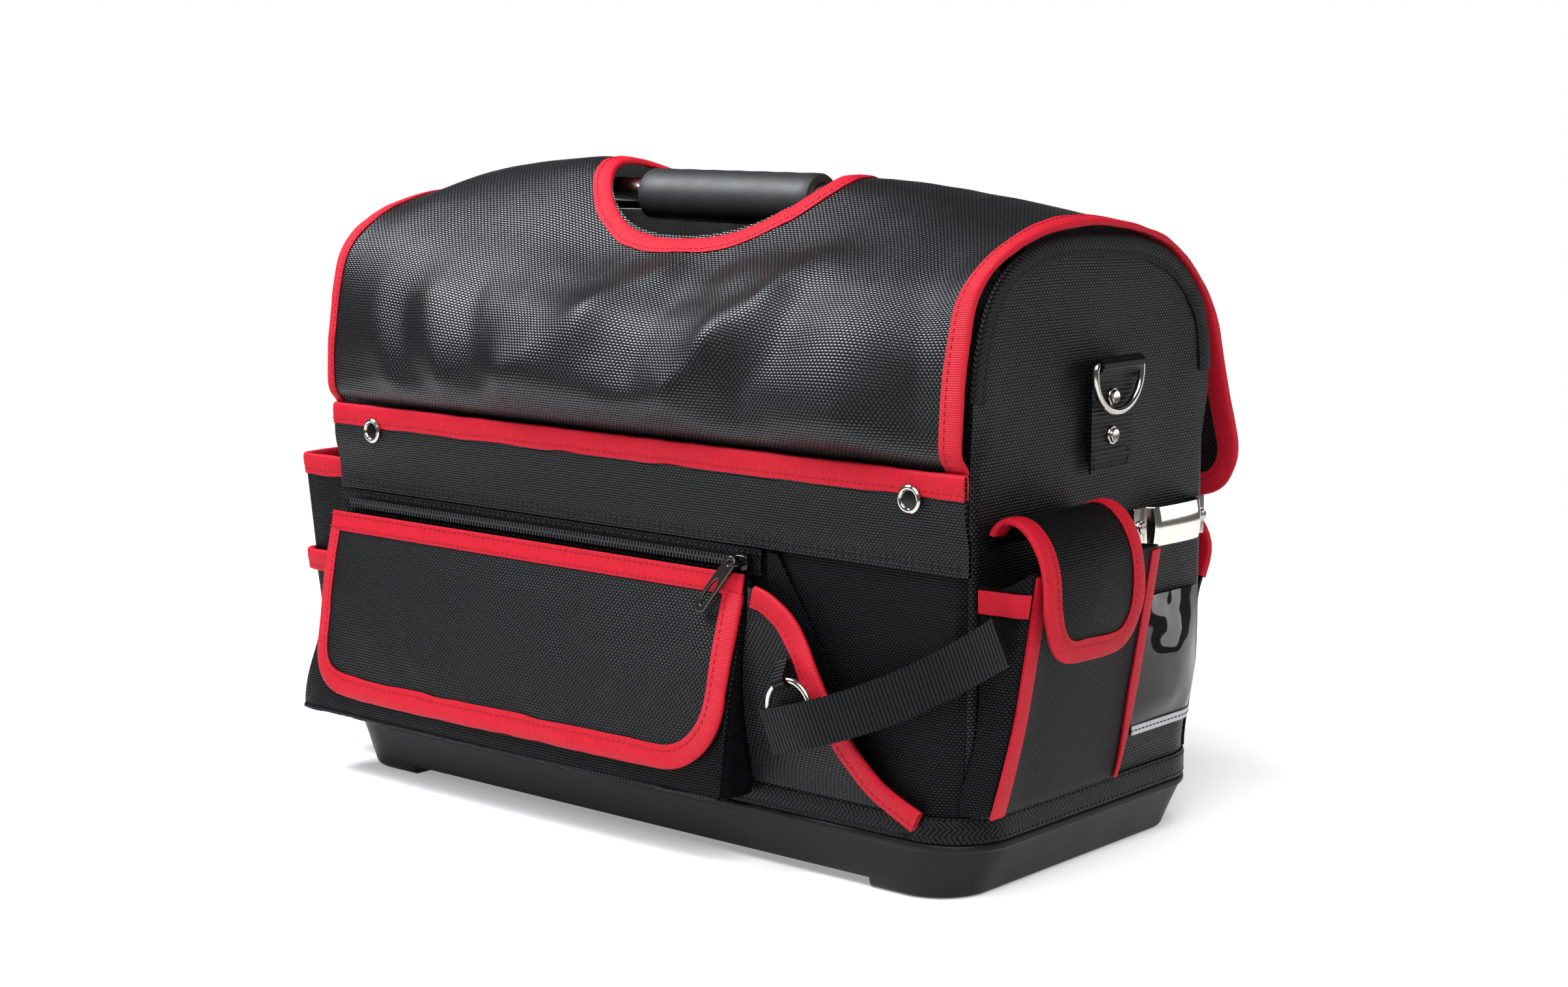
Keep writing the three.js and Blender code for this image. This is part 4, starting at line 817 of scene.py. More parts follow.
def stitched(name, lines, colour="black_thread", **values):
    material = materials()[colour]
    sizes = bpy.context.scene.tool_bag_sizes
    sewn = {"Pitch": sizes.stitch_pitch, "Length": sizes.stitch_length, "Thread": sizes.stitch_thread}
    key = ("stitch", colour)
    if key not in TREES:
        TREES[key] = stitch_tree(material)
    piece = grown(name, lines, TREES[key], sewn | values)
    return fasten(piece, (), material)


def clad(node, grid, thickness, paint, closed=False):
    """A cloth wall that stands for one node."""
    return fasten(wall(f"{node}_looks", grid, thickness, closed), (node,), materials()[paint])


def bind(tape, node):
    """A red binding that stands for one node."""
    return fasten(tape.piece(f"{node}_looks"), (node,), materials()["red_tape"])


MATERIALS = {}


def materials():
    """The bag's materials, made once from its settings."""
    if MATERIALS:
        return MATERIALS
    finish = bpy.context.scene.tool_bag_finish
    black = tuple(finish.cloth_colour)
    red = tuple(finish.tape_colour)
    nickel = tuple(finish.metal_colour)
    plastic = tuple(finish.plastic_colour)
    thread = finish.thread_width
    dark = scaled(black, 0.8)
    fine = thread * 0.9
    # plate is the nickel at 0.62 for the rings and rivets: a darker copy of the clip's polished nickel, a
    # painted shade standing in for the dark surroundings they reflect.
    plate, gun = scaled(nickel, 0.62), scaled(nickel, 0.12)
    MATERIALS.update(
        cover=cloth_material("Cover weave", black, thread, gloss=0.32, lift=0.00027, mirror=0.42),
        panel=cloth_material("Panel weave", dark, thread, gloss=0.4, lift=0.00036, mirror=0.28),
        # Pocket weave: the black cloth at half strength, a painted shade that keeps the walls, pockets and
        # pouch dark in the lamps' light.
        cloth=cloth_material("Pocket weave", scaled(black, 0.5), fine, gloss=0.42, lift=0.0003, mirror=0.11),
        band=cloth_material("Band webbing", scaled(black, 0.9), fine, gloss=0.4, lift=0.0004, mirror=0.26),
        webbing=tape_material("Black webbing", dark, pitch=0.0024, gloss=0.5, depth=0.05, gap_shade=1.0),
        herringbone=tape_material(
            "Black herringbone tape", dark, pitch=0.003, gloss=0.5, slant=1.0, depth=0.05, gap_shade=1.0
        ),
        red_tape=tape_material("Red binding", red, pitch=0.0012, gloss=0.62),
        red_thread=tape_material("Red thread", scaled(red, 0.8), pitch=0.0006, gloss=0.5),
        black_thread=tape_material("Black thread", scaled(black, 1.1), pitch=0.0006, gloss=0.5),
        plastic=grain_material(
            "Moulded base", plastic, scale=1400.0, gloss=0.45, lift=0.0002, wear=0.2, mirror=0.13
        ),
        # Darker nickel: painted shade in the reflections of rings and rivets.
        nickel=grain_material(
            "Nickel plate", plate, scale=500.0, gloss=0.16, lift=0.00002, metal=1.0, spread=0.06
        ),
        foam=grain_material("Grip foam", plastic, scale=2200.0, gloss=0.55, lift=0.00015),
        gunmetal=grain_material(
            "Zip pull metal", gun, scale=400.0, gloss=0.22, lift=0.00002, metal=0.9, spread=0.1
        ),
        enamel=grain_material(
            "Black enamel", scaled(black, 0.6), scale=300.0, gloss=0.2, lift=0.00002, metal=0.3
        ),
        coil=grain_material("Zip coil", scaled(black, 4.0), scale=900.0, gloss=0.3, lift=0.00002),
        polish=grain_material(
            "Polished nickel", nickel, scale=60.0, gloss=0.12, lift=0.0, metal=1.0, spread=0.05
        ),
        film=film_material("Clear film"),
        silver=grain_material("Silver strip", (0.42, 0.42, 0.43), scale=700.0, gloss=0.4, lift=0.0001),
    )
    return MATERIALS


# Shell
def wall_section(z):
    """The walls' half depth, corner radius and centre at a height."""
    k = smooth(share(z, FOOT["low"], FOOT["high"]))
    half_y = mix(FOOT["half_y"], HALF_DEPTH, k)
    return half_y, mix(FOOT["radius"], FOOT["corner"], k), mix(BASE_CENTRE_Y, 0, k)


def corner_points(sign_x, sign_y, start, end, z, steps, outset=0.0):
    half_y, radius, centre = wall_section(z)
    turn = np.radians(np.linspace(start, end, steps))
    x = sign_x * (HALF_LENGTH - radius) + (radius + outset) * np.cos(turn)
    y = centre + sign_y * (half_y - radius) + (radius + outset) * np.sin(turn)
    return vec3(x, y, z)


SEAM_ANGLE = 0.4
WALL_ROWS = np.concatenate([np.linspace(33, 110, 18), np.linspace(116, PANEL_TOP, 22)])


def line_between(a, b, count):
    return a + (b - a) * np.linspace(0, 1, count + 2)[1:-1, None]


def long_panel(side):
    """The front or the back wall's grid, with a slight sag."""
    rows = []
    for z in WALL_ROWS:
        left = corner_points(-1, -1, 225 + SEAM_ANGLE, 270, z, 7)
        right = corner_points(1, -1, 270, 315 - SEAM_ANGLE, z, 7)
        row = np.concatenate([left, line_between(left[-1], right[0], 60), right])
        if side > 0:
            row[:, 1] = 2 * wall_section(z)[2] - row[:, 1]
        rows.append(row)
    grid = np.stack(rows)
    x, z = grid[..., 0], grid[..., 2]
    off_edge = smooth((PANEL_TOP - 8 - z) / 30) * smooth((HALF_LENGTH - 14 - np.abs(x)) / 20)
    hang = smooth((z - 50) / 40) * off_edge
    grid[..., 1] -= side * 1.2 * hang * (0.5 + 0.5 * crumple(x, z, size=48, seed=11 + side))
    return grid


def arch_point(angle, outset=0.0):
    power = 2 / ARCH["power"]
    turn = np.radians(angle)
    y = (HALF_DEPTH + outset) * np.cos(turn) ** power
    return y, ARCH["foot"] + (ARCH["rise"] + outset) * np.sin(turn) ** power


ARCH_ANGLES = np.concatenate([np.linspace(4, 80, 26), [83, 86, 88]])


def end_sag(y, z):
    """How far an end panel dishes in or creases."""
    inside = smooth((HALF_DEPTH - 12 - np.abs(y)) / 30) * smooth((z - 50) / 40)
    open_top = smooth((330 - z) / 40)
    return inside * open_top * (1.0 + 0.8 * crumple(y, z, size=60, seed=3))


def end_panel(side):
    rows = []
    for z in WALL_ROWS:
        front = corner_points(1, -1, 315 + SEAM_ANGLE, 360, z, 7)
        rear = corner_points(1, 1, 0, 45 - SEAM_ANGLE, z, 7)
        rows.append(np.concatenate([front, line_between(front[-1], rear[0], 30), rear]))
    for angle in ARCH_ANGLES:
        y, z = arch_point(angle)
        rows.append(vec3(HALF_LENGTH, np.linspace(-y, y, len(rows[0])), z))
    grid = np.stack(rows)
    grid[..., 0] -= end_sag(grid[..., 1], grid[..., 2])
    grid[..., 0] *= side
    return grid


def arch_route():
    angles = np.concatenate([np.linspace(8, 80, 40), [83, 86, 88.5]])
    y, z = arch_point(angles)
    lift = (y / HALF_DEPTH) ** (ARCH["power"] - 1)
    rise = ((z - ARCH["foot"]) / ARCH["rise"]) ** (ARCH["power"] - 1)
    front = np.stack([-y, z, lift, -rise], axis=1)
    rear = np.stack([y, z, -lift, -rise], axis=1)[::-1]
    return tuple(np.concatenate([front, rear]).T)


# The four corners' ways along and across, and the angle at which each begins
CORNERS = ((1, -1, -90), (1, 1, 0), (-1, 1, 90), (-1, -1, 180))


def rounded_ring(half_x, half_y, radius, z, steps=12):
    rows = []
    for sx, sy, start in CORNERS:
        turn = np.radians(np.linspace(start, start + 90, steps + 1))
        x = sx * (half_x - radius) + radius * np.cos(turn)
        y = BASE_CENTRE_Y + sy * (half_y - radius) + radius * np.sin(turn)
        rows.append(vec3(x, y, z))
    return np.concatenate(rows)


# The tub's rings: half length, half depth, corner radius and height, up its outside and down its inside
BASE_SIDE = (
    (231.6, 109.2, 29, 0), (233.4, 111, 30.5, 0.7), (234.6, 112.2, 32, 2.6), (238, 113.4, 34, 10),
    (242, 114.4, 36, 18), (246, 115.4, 37.5, 26), (246.6, 115.6, 38, 27.2), (247.8, 116.8, 38, 27.8),
    (248, 117, 38, 28.6), (248, 117, 38, 30.4), (247.6, 116.6, 38, 31.4), (246.5, 115.5, 38, 32),
)
BASE_COLLAR = ((1.3, 32.1), (1.3, 46), (3.5, 46), (3.5, 28))
BASE_FLOOR = ((230.6, 108.2, 29, 12), (228, 105.6, 26, 9))
BASE_RECESS = ((-180, 180), (-150, 150), (-4.0, 5.5))


def box_piece(name, *sides):
    corners = [(x, y, z) for x in sides[0] for y in sides[1] for z in sides[2]]
    faces = [(0, 1, 3, 2), (4, 6, 7, 5), (0, 4, 5, 1), (2, 3, 7, 6), (0, 2, 6, 4), (1, 5, 7, 3)]
    return new_piece(name, corners, faces)


def base_tub():
    """The moulded tub: drawn-in sides, a rolled rim, a collar and two end feet."""
    collar = [(HALF_LENGTH - k, FOOT["half_y"] - k, FOOT["radius"] - k, z) for k, z in BASE_COLLAR]
    rings = [rounded_ring(*row) for row in (*BASE_SIDE, *collar, *BASE_FLOOR)]
    tub = loft("base_tub_looks", np.stack(rings), sharp=40)
    cut(tub, box_piece("base_recess", *BASE_RECESS))
    shaded(bevelled(tub, 0.0006, 35), 40)
    return tub


def foot_line(z, outset):
    rows = [corner_points(sx, sy, start, start + 90, z, 14, outset) for sx, sy, start in CORNERS]
    return np.concatenate(rows)


def dense_loop(points, pitch):
    closed = np.concatenate([points, points[:1]])
    run = run_along(closed)
    at = np.linspace(0, run[-1], int(run[-1] / pitch), endpoint=False)
    return np.stack([np.interp(at, run, closed[:, k]) for k in range(3)], axis=1)


# The foot tape's heights, and how far it stands out at each
FOOT_TAPE = ((32.6, 0.3), (36, 0.7), (43, 0.7), (46.4, 0.2))
FOOT_SEAMS = (34.4, 44.6)


def make_shell():
    paint = materials()
    fasten(base_tub(), ("base_tub",), paint["plastic"])
    for side, node in ((-1, "front_panel"), (1, "back_panel")):
        clad(node, long_panel(side), CLOTH, "cloth")
    seams = []
    for side, name in ((1, "right"), (-1, "left")):
        clad(f"end_panel_{name}", end_panel(side), CLOTH, "panel")

        def end_surface(y, z, side=side):
            return vec3(side * (HALF_LENGTH - end_sag(y, z)), y, z)

        route = resampled(arch_route(), 4, end_surface)
        tape = Tape(end_surface, route, CLOTH, 10, clear=0.2, thickness=1.0)
        black = tape.piece(f"end_tape_{name}_looks")
        fasten(black, (f"end_tape_{name}",), paint["herringbone"])
        seams += tape.seams()
        for edge_y in (-1, 1):
            z = np.linspace(52, 232, 50)
            half_y, radius, centre = wall_section(z)
            y = centre + edge_y * (half_y - radius * 0.35 - 3)
            x = side * (HALF_LENGTH - radius * (1 - 0.76) + CLOTH / 2)
            seams.append((vec3(x, y, z), np.array([side * 0.8, edge_y * 0.6, 0]), False))
    outset = CLOTH / 2 + 0.6
    rows = [dense_loop(foot_line(z, outset + out), 6) for z, out in FOOT_TAPE]
    least = min(len(row) for row in rows)
    grid = np.stack([row[:least] for row in rows])
    clad("foot_tape", grid, 1.2, "herringbone", True)
    for z in FOOT_SEAMS:
        line = dense_loop(foot_line(z, outset + 1.25), 5)
        up = unit(line - np.array([0, BASE_CENTRE_Y, z]))
        seams.append((line, up, True))
    stitched("shell_stitches", seams)


# Cover
def fold_height(x, s):
    """How far the folds stand out at a place along the bag and a row of the cover."""
    height = 0.0
    for x0, row0, x1, row1, width, out in COVER_FOLDS:
        dx, dy = x1 - x0, (row1 - row0) * COVER["row_step"]
        px, py = x - x0, (s - row0) * COVER["row_step"]
        t = np.clip((px * dx + py * dy) / (dx * dx + dy * dy), 0, 1)
        away = np.hypot(px - t * dx, py - t * dy)
        height = height + out * np.exp(-((away / width) ** FOLD_POWER))
    return bpy.context.scene.tool_bag_sizes.fold_depth * height * smooth((s - 1.2) / 1.2)


def cover_surface(x, s):
    """The cover's middle layer; folds stand out forward at the front, up on top and back at the rear."""
    x, s = paired(x, s)
    middle = np.maximum(0, 1 - (np.abs(x) / COVER["half"]) ** COVER["power"])
    y = mix(through(COVER_ROWS["end_y"], s), through(COVER_ROWS["mid_y"], s), middle)
    z = mix(through(COVER_ROWS["end_z"], s), through(COVER_ROWS["mid_z"], s), middle)
    front = np.clip((7 - s) / 4, 0, 1)
    loose = smooth((s - 1.6) / 1.5) * smooth((COVER["half"] - np.abs(x)) / 60)
    creases = crumple(x, s * COVER["row_step"], size=46, seed=21)
    out = fold_height(x, s) + COVER["crease"] * loose * creases
    rear = smooth((s - 13) / 2)
    z = z + out * (1 - front) * (1 - rear)
    return vec3(x, y - out * front + out * rear, z)


def cover_reach(s):
    """How far the cover reaches to each side at a row, less at its rounded rear corners."""
    from_hem = (COVER["last"] - s) * COVER["row_length"]
    side = np.maximum(COVER["corner"] - from_hem, 0)
    return COVER["half"] - COVER["corner"] + np.sqrt(np.maximum(COVER["corner"] ** 2 - side**2, 0))


def cover_row_over(x, y):
    """The row of the cover that lies over a place in plan."""
    x, y = paired(x, y)
    low, high = np.full(x.shape, 4.0), np.full(x.shape, COVER["last"])
    for _ in range(26):
        half = (low + high) / 2
        under = cover_surface(x, half)[..., 1] < y
        low, high = np.where(under, half, low), np.where(under, high, half)
    return low


def cover_plan(x, y):
    return cover_surface(x, cover_row_over(x, y))


def cover_route():
    side_rows = np.linspace(0.98, 16.6, 110)
    right = [(COVER["half"], s, -1, 0) for s in side_rows]
    corner = []
    for angle in np.linspace(4, 86, 14):
        turn = math.radians(angle)
        s = COVER["last"] - COVER["corner"] * (1 - math.sin(turn)) / COVER["row_length"]
        reach = COVER["half"] - COVER["corner"] * (1 - math.cos(turn))
        corner.append((reach, s, -math.cos(turn), -math.sin(turn) / COVER["row_length"]))
    flat = COVER["half"] - COVER["corner"]
    hem = [(x, COVER["last"], 0, -1 / COVER["row_length"]) for x in np.linspace(flat, -flat, 70)]
    left = [(-x, s, -a, b) for x, s, a, b in (right + corner)[::-1]]
    return route_of(right + corner + hem + left)


def hole_route(steps=150):
    turn = circle(steps)
    out = unit(np.stack([HOLE["half_y"] * np.cos(turn), HOLE["half_x"] * np.sin(turn)], axis=1))
    x = HOLE["x"] + HOLE["half_x"] * np.cos(turn)
    y = HOLE["y"] + HOLE["half_y"] * np.sin(turn)
    return x, y, out[:, 0], out[:, 1]


def make_cover():
    paint = materials()
    rows = np.concatenate([np.linspace(0, 17, 130), np.linspace(17.04, 18, 20)])
    columns = np.linspace(-1, 1, 125)
    grid = np.stack([cover_surface(columns * cover_reach(s), np.full(columns.shape, s)) for s in rows])
    cover = wall("cover_looks", grid, COVER["thickness"])
    x, y, _, _ = hole_route()
    rings = np.stack([vec3(x, y, 295.0), vec3(x, y, 420.0)])
    punch = loft("cover_punch", rings)
    cut(cover, punch)
    shaded(cover, 50)
    fasten(cover, ("cover",), paint["cover"])
    route = resampled(cover_route(), 3, cover_surface)
    turned_in = smooth((-route[0] - 215) / 25) * smooth((15 - route[1]) / 2)
    edge = Tape(cover_surface, route, COVER["thickness"], mix(11.5, 5.5, turned_in))
    bind(edge, "cover_binding")
    rim = Tape(cover_plan, hole_route(220), COVER["thickness"], 11, True, gather=4.5)
    bind(rim, "hole_binding")
    stitched("cover_stitches", edge.seams() + rim.seams(), "red_thread")
    down = step_lengths(grid[:, grid.shape[1] // 2]).sum() / 1000


# Handle
def make_handle():
    paint = materials()
    turn = np.radians(np.linspace(0, 90, 24))
    bend, leg = HANDLE["bend"], HANDLE["leg_x"]
    curve = vec3(leg - bend + bend * np.sin(turn), HANDLE["y"], HANDLE["z"] - bend + bend * np.cos(turn))
    half = np.concatenate([curve, [[leg, HANDLE["y"], 150]], [[leg, HANDLE["y"], HANDLE["foot"]]]])
    path = np.concatenate([(half * (-1, 1, 1))[::-1], half])
    tube = bar("handle_frame_looks", path, (0, 1, 0), HANDLE["radius"], 28)
    fasten(tube, ("handle_frame",), paint["nickel"])
    radius, end = GRIP["radius"], GRIP["half"]
    inside = HANDLE["radius"] + 0.4
    lip = [(inside, -end + 3), (inside, -end), (radius - 2.2, -end)]
    lip += [(radius - 0.8, -end + 0.6), (radius, -end + 2)]
    rows = np.linspace(-end + 8, end - 8, 24)
    sleeve = [(radius + 0.12 * math.sin(k * 1.7), h) for k, h in enumerate(rows)]
    profile = [*lip, *sleeve, *((r, -h) for r, h in lip[::-1])]
    grip = turned("handle_grip_looks", profile, (GRIP["x"], HANDLE["y"], HANDLE["z"]), (1, 0, 0), 40)
    fasten(grip, ("handle_grip",), paint["foam"])


# Front band
def band_surface(x, z):
    x, z = paired(x, z)
    y = mix(BAND["foot_y"], BAND["top_y"], smooth((z - 188) / 24))
    return vec3(x, y - 0.5 * value_noise(x / 60, z / 90, 8) * smooth((z - 180) / 20), z)


# Profiles of the rivets: radius and height
BAND_RIVET = (
    (0, 0), (7.5, 0), (7.6, 0.5), (7.4, 1.2), (6.7, 1.8),
    (6.0, 1.9), (5.3, 1.6), (4.9, 1.0), (4.7, 0.4), (0, 0.3),
)
# A black disc in the hole of each band rivet: painted shade of the hole.
BAND_HOLE_SHADE = ((0, 0.35), (4.6, 0.35), (4.6, 0.5), (2.5, 0.6), (0, 0.65))
DOME = (
    (0, 0), (1, 0), (1.0, 0.5), (0.95, 0.9), (0.82, 1.1),
    (0.8, 1.4), (0.74, 2.2), (0.66, 2.5), (0.3, 2.65), (0, 2.7),
)
PIN = 0.02


def rivet(name, profile, spot, axis, sides, radius=1):
    return turned(name, [(max(r * radius, PIN), h) for r, h in profile], spot, axis, sides)


def dome(name, radius, spot, axis):
    return rivet(name, DOME, spot, axis, 28, radius)


def make_band():
    paint = materials()
    z = np.linspace(BAND["bottom"], BAND["top"], 16)
    x = np.linspace(BAND["left"], BAND["right"], 100)
    grid = band_surface(x[None, :], z[:, None])
    clad("front_band", grid, CLOTH, "band")
    route = route_of([(spot, BAND["top"], 0, -1) for spot in np.linspace(BAND["left"], BAND["right"], 130)])
    edge = Tape(band_surface, route, CLOTH, 11)
    bind(edge, "band_binding")
    stitched("band_stitches", edge.seams()[:1], "red_thread")
    for name, rivet_x in BAND_RIVETS.items():
        spot = (rivet_x, BAND["top_y"] - CLOTH / 2 - 1.3, BAND_RIVET_Z)
        stud = rivet(f"band_rivet_{name}_looks", BAND_RIVET, spot, (0, -1, 0), 36)
        fasten(stud, (f"band_rivet_{name}",), paint["nickel"])
        # Black enamel disc in the rivet's hole: painted shade.
        hole_shade = rivet(f"band_rivet_{name}_bowl_looks", BAND_HOLE_SHADE, spot, (0, -1, 0), 24)
        fasten(hole_shade, (), paint["enamel"])
    lines = [vec3(np.linspace(-240, 240, 90), -115.9, height) for height in BAND_SEAMS]
    stitched("band_foot_stitches", [(line, FORWARD, False) for line in lines])


# Front pocket
def pocket_depth(x, z):
    down = share(-z, -POCKET["top"], -POCKET["bottom"])
    depth = 3.2 + 26 * np.sin(down * 0.86 * math.pi / 2) ** 1.1
    middle = share(x, POCKET["left"], POCKET["right"])
    return depth + 4 * np.sin(math.pi * middle) * down


def pocket_face(x, z):
    x, z = paired(x, z)
    return vec3(x, POCKET["back"] - pocket_depth(x, z), z)


def tray_grid(face, columns, rows, back_of, round_):
    """A pocket's rows, each from the wall round its face and back to the wall."""
    grid = []
    for b in rows:
        front = face(np.array(columns), np.full(len(columns), float(b)))
        first, last = back_of(front[0]), back_of(front[-1])
        turn = [first, mix(first, front[0], round_), *front[1:-1], mix(last, front[-1], round_), last]
        grid.append(np.array(turn))
    return np.stack(grid)


def zip_pocket():
    left, right, bottom = POCKET["left"], POCKET["right"], POCKET["bottom"]
    columns = [left, left + 7, *np.linspace(left + 60, right - 60, 5), right - 7, right]

    def back_of(p):
        y = mix(POCKET["foot_back"], POCKET["back"], np.clip((p[2] - 48) / 16, 0, 1))
        return np.array([p[0], y, p[2]])

    rows = (POCKET["top"], 148, 130, 104, 76, 52, bottom + 3)
    grid = tray_grid(pocket_face, columns, rows, back_of, 0.82)
    floor = grid[-1] * (1, 0.985, 0) + (0, -1.2, bottom)
    under = floor * (1, 0, 0) + (0, POCKET["foot_back"], bottom + 1.5)
    grid = refined(np.concatenate([grid, floor[None], under[None]]), 56, 90)
    normal = grid_normals(grid)
    x, z = grid[..., 0], grid[..., 2]
    sag = crumple(x, z, size=40, seed=31) * smooth((150 - z) / 30)
    return grid + normal * (0.8 * sag * smooth((-118 - grid[..., 1]) / 6))[..., None]


def flap_surface(x, z):
    x, z = paired(x, z)
    lift = FLAP["lift"] + 1.3 * crumple(x, z, size=55, seed=41) * smooth((FLAP["top"] - 12 - z) / 25)
    drawn = 7 * smooth((145 - z) / 70) * np.clip((-x - 130) / 114, 0, 1)
    return vec3(x + drawn, POCKET["back"] - pocket_depth(x, z) - lift, z)


def flap_route(left, right, top, bottom, corner, drop):
    """Down a flap's side, round its corner, along its foot and up its other side."""
    down = [(left, b, 1, 0) for b in np.linspace(top - drop, bottom + corner, 20)]
    turn = np.radians(np.linspace(5, 85, 16))
    ways = [(math.cos(t), math.sin(t)) for t in turn]
    bend = [(left + corner * (1 - cos), bottom + corner * (1 - sin), cos, sin) for cos, sin in ways]
    flat = [(a, bottom, 0, 1) for a in np.linspace(left + corner, right - corner, 40)]
    other = [(left + right - a, b, -in_a, in_b) for a, b, in_a, in_b in (down + bend)[::-1]]
    return route_of(down + bend + flat + other)


def flap_grid(surface, left, right, top, bottom, corner, columns=90, rows=30):
    """A flap's rows from its top down, drawn in at its rounded lower corners."""
    straight = [(b, 0.0) for b in np.linspace(top, bottom + corner, rows)]
    turn = np.radians(np.linspace(6, 90, 16))
    bend = [(bottom + corner * (1 - math.sin(t)), corner * (1 - math.cos(t))) for t in turn]
    lines = []
    for b, draw in straight + bend:
        a = np.linspace(left + draw, right - draw, columns)
        lines.append(surface(a, np.full(columns, b)))
    return np.stack(lines)


PULL = {
    "length": 33.0, "width": 8.5, "eye": 1.6, "rim": 4.0,
    "x": 93.0, "out": 7.8, "lift": 16.0, "swing": 31.0,
}
SLIDER_X = 97.0
# The slider's rows: how far out, half its length and half its height
SLIDER = ((0, 4.2, 4.0), (-0.6, 4.9, 4.4), (-3.6, 5.0, 4.5), (-4.3, 4.6, 4.2), (-4.5, 3.8, 3.6))
SLIDER_SQUARE = 0.45
# The bridge's way along the zip and out from the slider
BRIDGE = (
    (-4, 0.4), (-4, -4), (-3.6, -5.6), (-2.6, -6.4), (0, -6.6),
    (2.6, -6.4), (3.6, -5.6), (4, -4), (4, 0.4),
)


def zip_pull():
    """A pressed plate with an eye and a slot, hanging from the slider's bridge."""
    length, width, eye, rim = (PULL[key] for key in ("length", "width", "eye", "rim"))
    shape = bmesh.new()

    def ring(points):
        made = [shape.verts.new((x, y, 0)) for x, y in points]
        return [shape.edges.new((made[k], made[(k + 1) % len(made)])) for k in range(len(made))]

    top = np.radians(np.linspace(0, 180, 14))
    low = np.radians(np.linspace(180, 360, 14))
    outline = [(rim * math.cos(t), rim * math.sin(t)) for t in top]
    outline += [(width / 2 * math.cos(t), -length + width / 2 + width / 2 * math.sin(t)) for t in low]
    around = circle(16)
    edges = ring(outline)
    edges += ring([(eye * math.cos(t), eye * math.sin(t)) for t in around])
    edges += ring([(2.3 * math.cos(t), -length + 13 + 9 * math.sin(t)) for t in around])
    bmesh.ops.triangle_fill(shape, edges=edges, use_beauty=True)
    thick = bmesh.ops.extrude_face_region(shape, geom=list(shape.faces))
    lifted = [v for v in thick["geom"] if isinstance(v, bmesh.types.BMVert)]
    bmesh.ops.translate(shape, verts=lifted, vec=(0, 0, 2))
    bmesh.ops.translate(shape, verts=shape.verts, vec=(0, 0, -1))
    bmesh.ops.recalc_face_normals(shape, faces=shape.faces)
    lift, swing = math.radians(PULL["lift"]), math.radians(PULL["swing"])
    turn = Matrix.Rotation(math.pi / 2 - lift, 4, "X") @ Matrix.Rotation(-swing, 4, "Z")
    spot = Matrix.Translation((PULL["x"], ZIP["face"] - PULL["out"], ZIP["z"]))
    bmesh.ops.transform(shape, matrix=spot @ turn, verts=shape.verts)
    shape.verts.ensure_lookup_table()
    points = np.array([v.co[:] for v in shape.verts])
    shape.verts.index_update()
    faces = [[v.index for v in face.verts] for face in shape.faces]
    shape.free()
    pull = new_piece("zip_pull_looks", points, faces)
    return bevelled(pull, 0.0004, 50)


def zip_slider():
    turn = circle(24)
    cos, sin = (np.sign(wave) * np.abs(wave) ** SLIDER_SQUARE for wave in (np.cos(turn), np.sin(turn)))
    rings = [vec3(SLIDER_X + half * cos, ZIP["face"] + y, ZIP["z"] + tall * sin) for y, half, tall in SLIDER]
    return loft("zip_slider_looks", np.stack(rings), sharp=50)


# The seam tape's rows: how far below the flap's top, and how far out from the flap
SEAM_TAPE = ((11.5, 1.2), (10.7, 1.6), (9, 1.75), (6, 1.8), (2.5, 1.75), (0.8, 1.6), (0, 1.2))
SEAM_STITCHES = (9.4, 1.8)
ZIP_STITCHES = (172.6, 161.6)
# The two rows of teeth: how far up, and how far along
TEETH = ((1.1, 0.0), (-1.1, 1.2))


def make_pocket_flap():
    """The flap, its binding and the tape along its seam."""
    shape = tuple(FLAP[k] for k in ("left", "right", "top", "bottom", "corner"))
    flap = clad("pocket_flap", flap_grid(flap_surface, *shape), THIN_CLOTH, "panel")
    route = resampled(flap_route(*shape, 11), 4, flap_surface)
    turned_in = smooth((-route[0] - 215) / 25)
    edge = Tape(flap_surface, route, THIN_CLOTH, mix(11.5, 7.5, turned_in))
    bind(edge, "pocket_flap_binding")
    x = np.linspace(FLAP["left"], FLAP["right"] + 2, 110)
    below, rise = np.array(SEAM_TAPE).T[:, :, None]
    grid = flap_surface(x[None, :], FLAP["top"] - below) - vec3(0, rise + 0 * x[None, :], 0)
    clad("pocket_seam_tape", grid, 1.0, "red_tape")
    lines = [flap_surface(x, np.full(x.shape, FLAP["top"] - down)) - (0, 2.35, 0) for down in SEAM_STITCHES]
    stitched("pocket_red_stitches", edge.seams() + [(line, FORWARD, False) for line in lines], "red_thread")


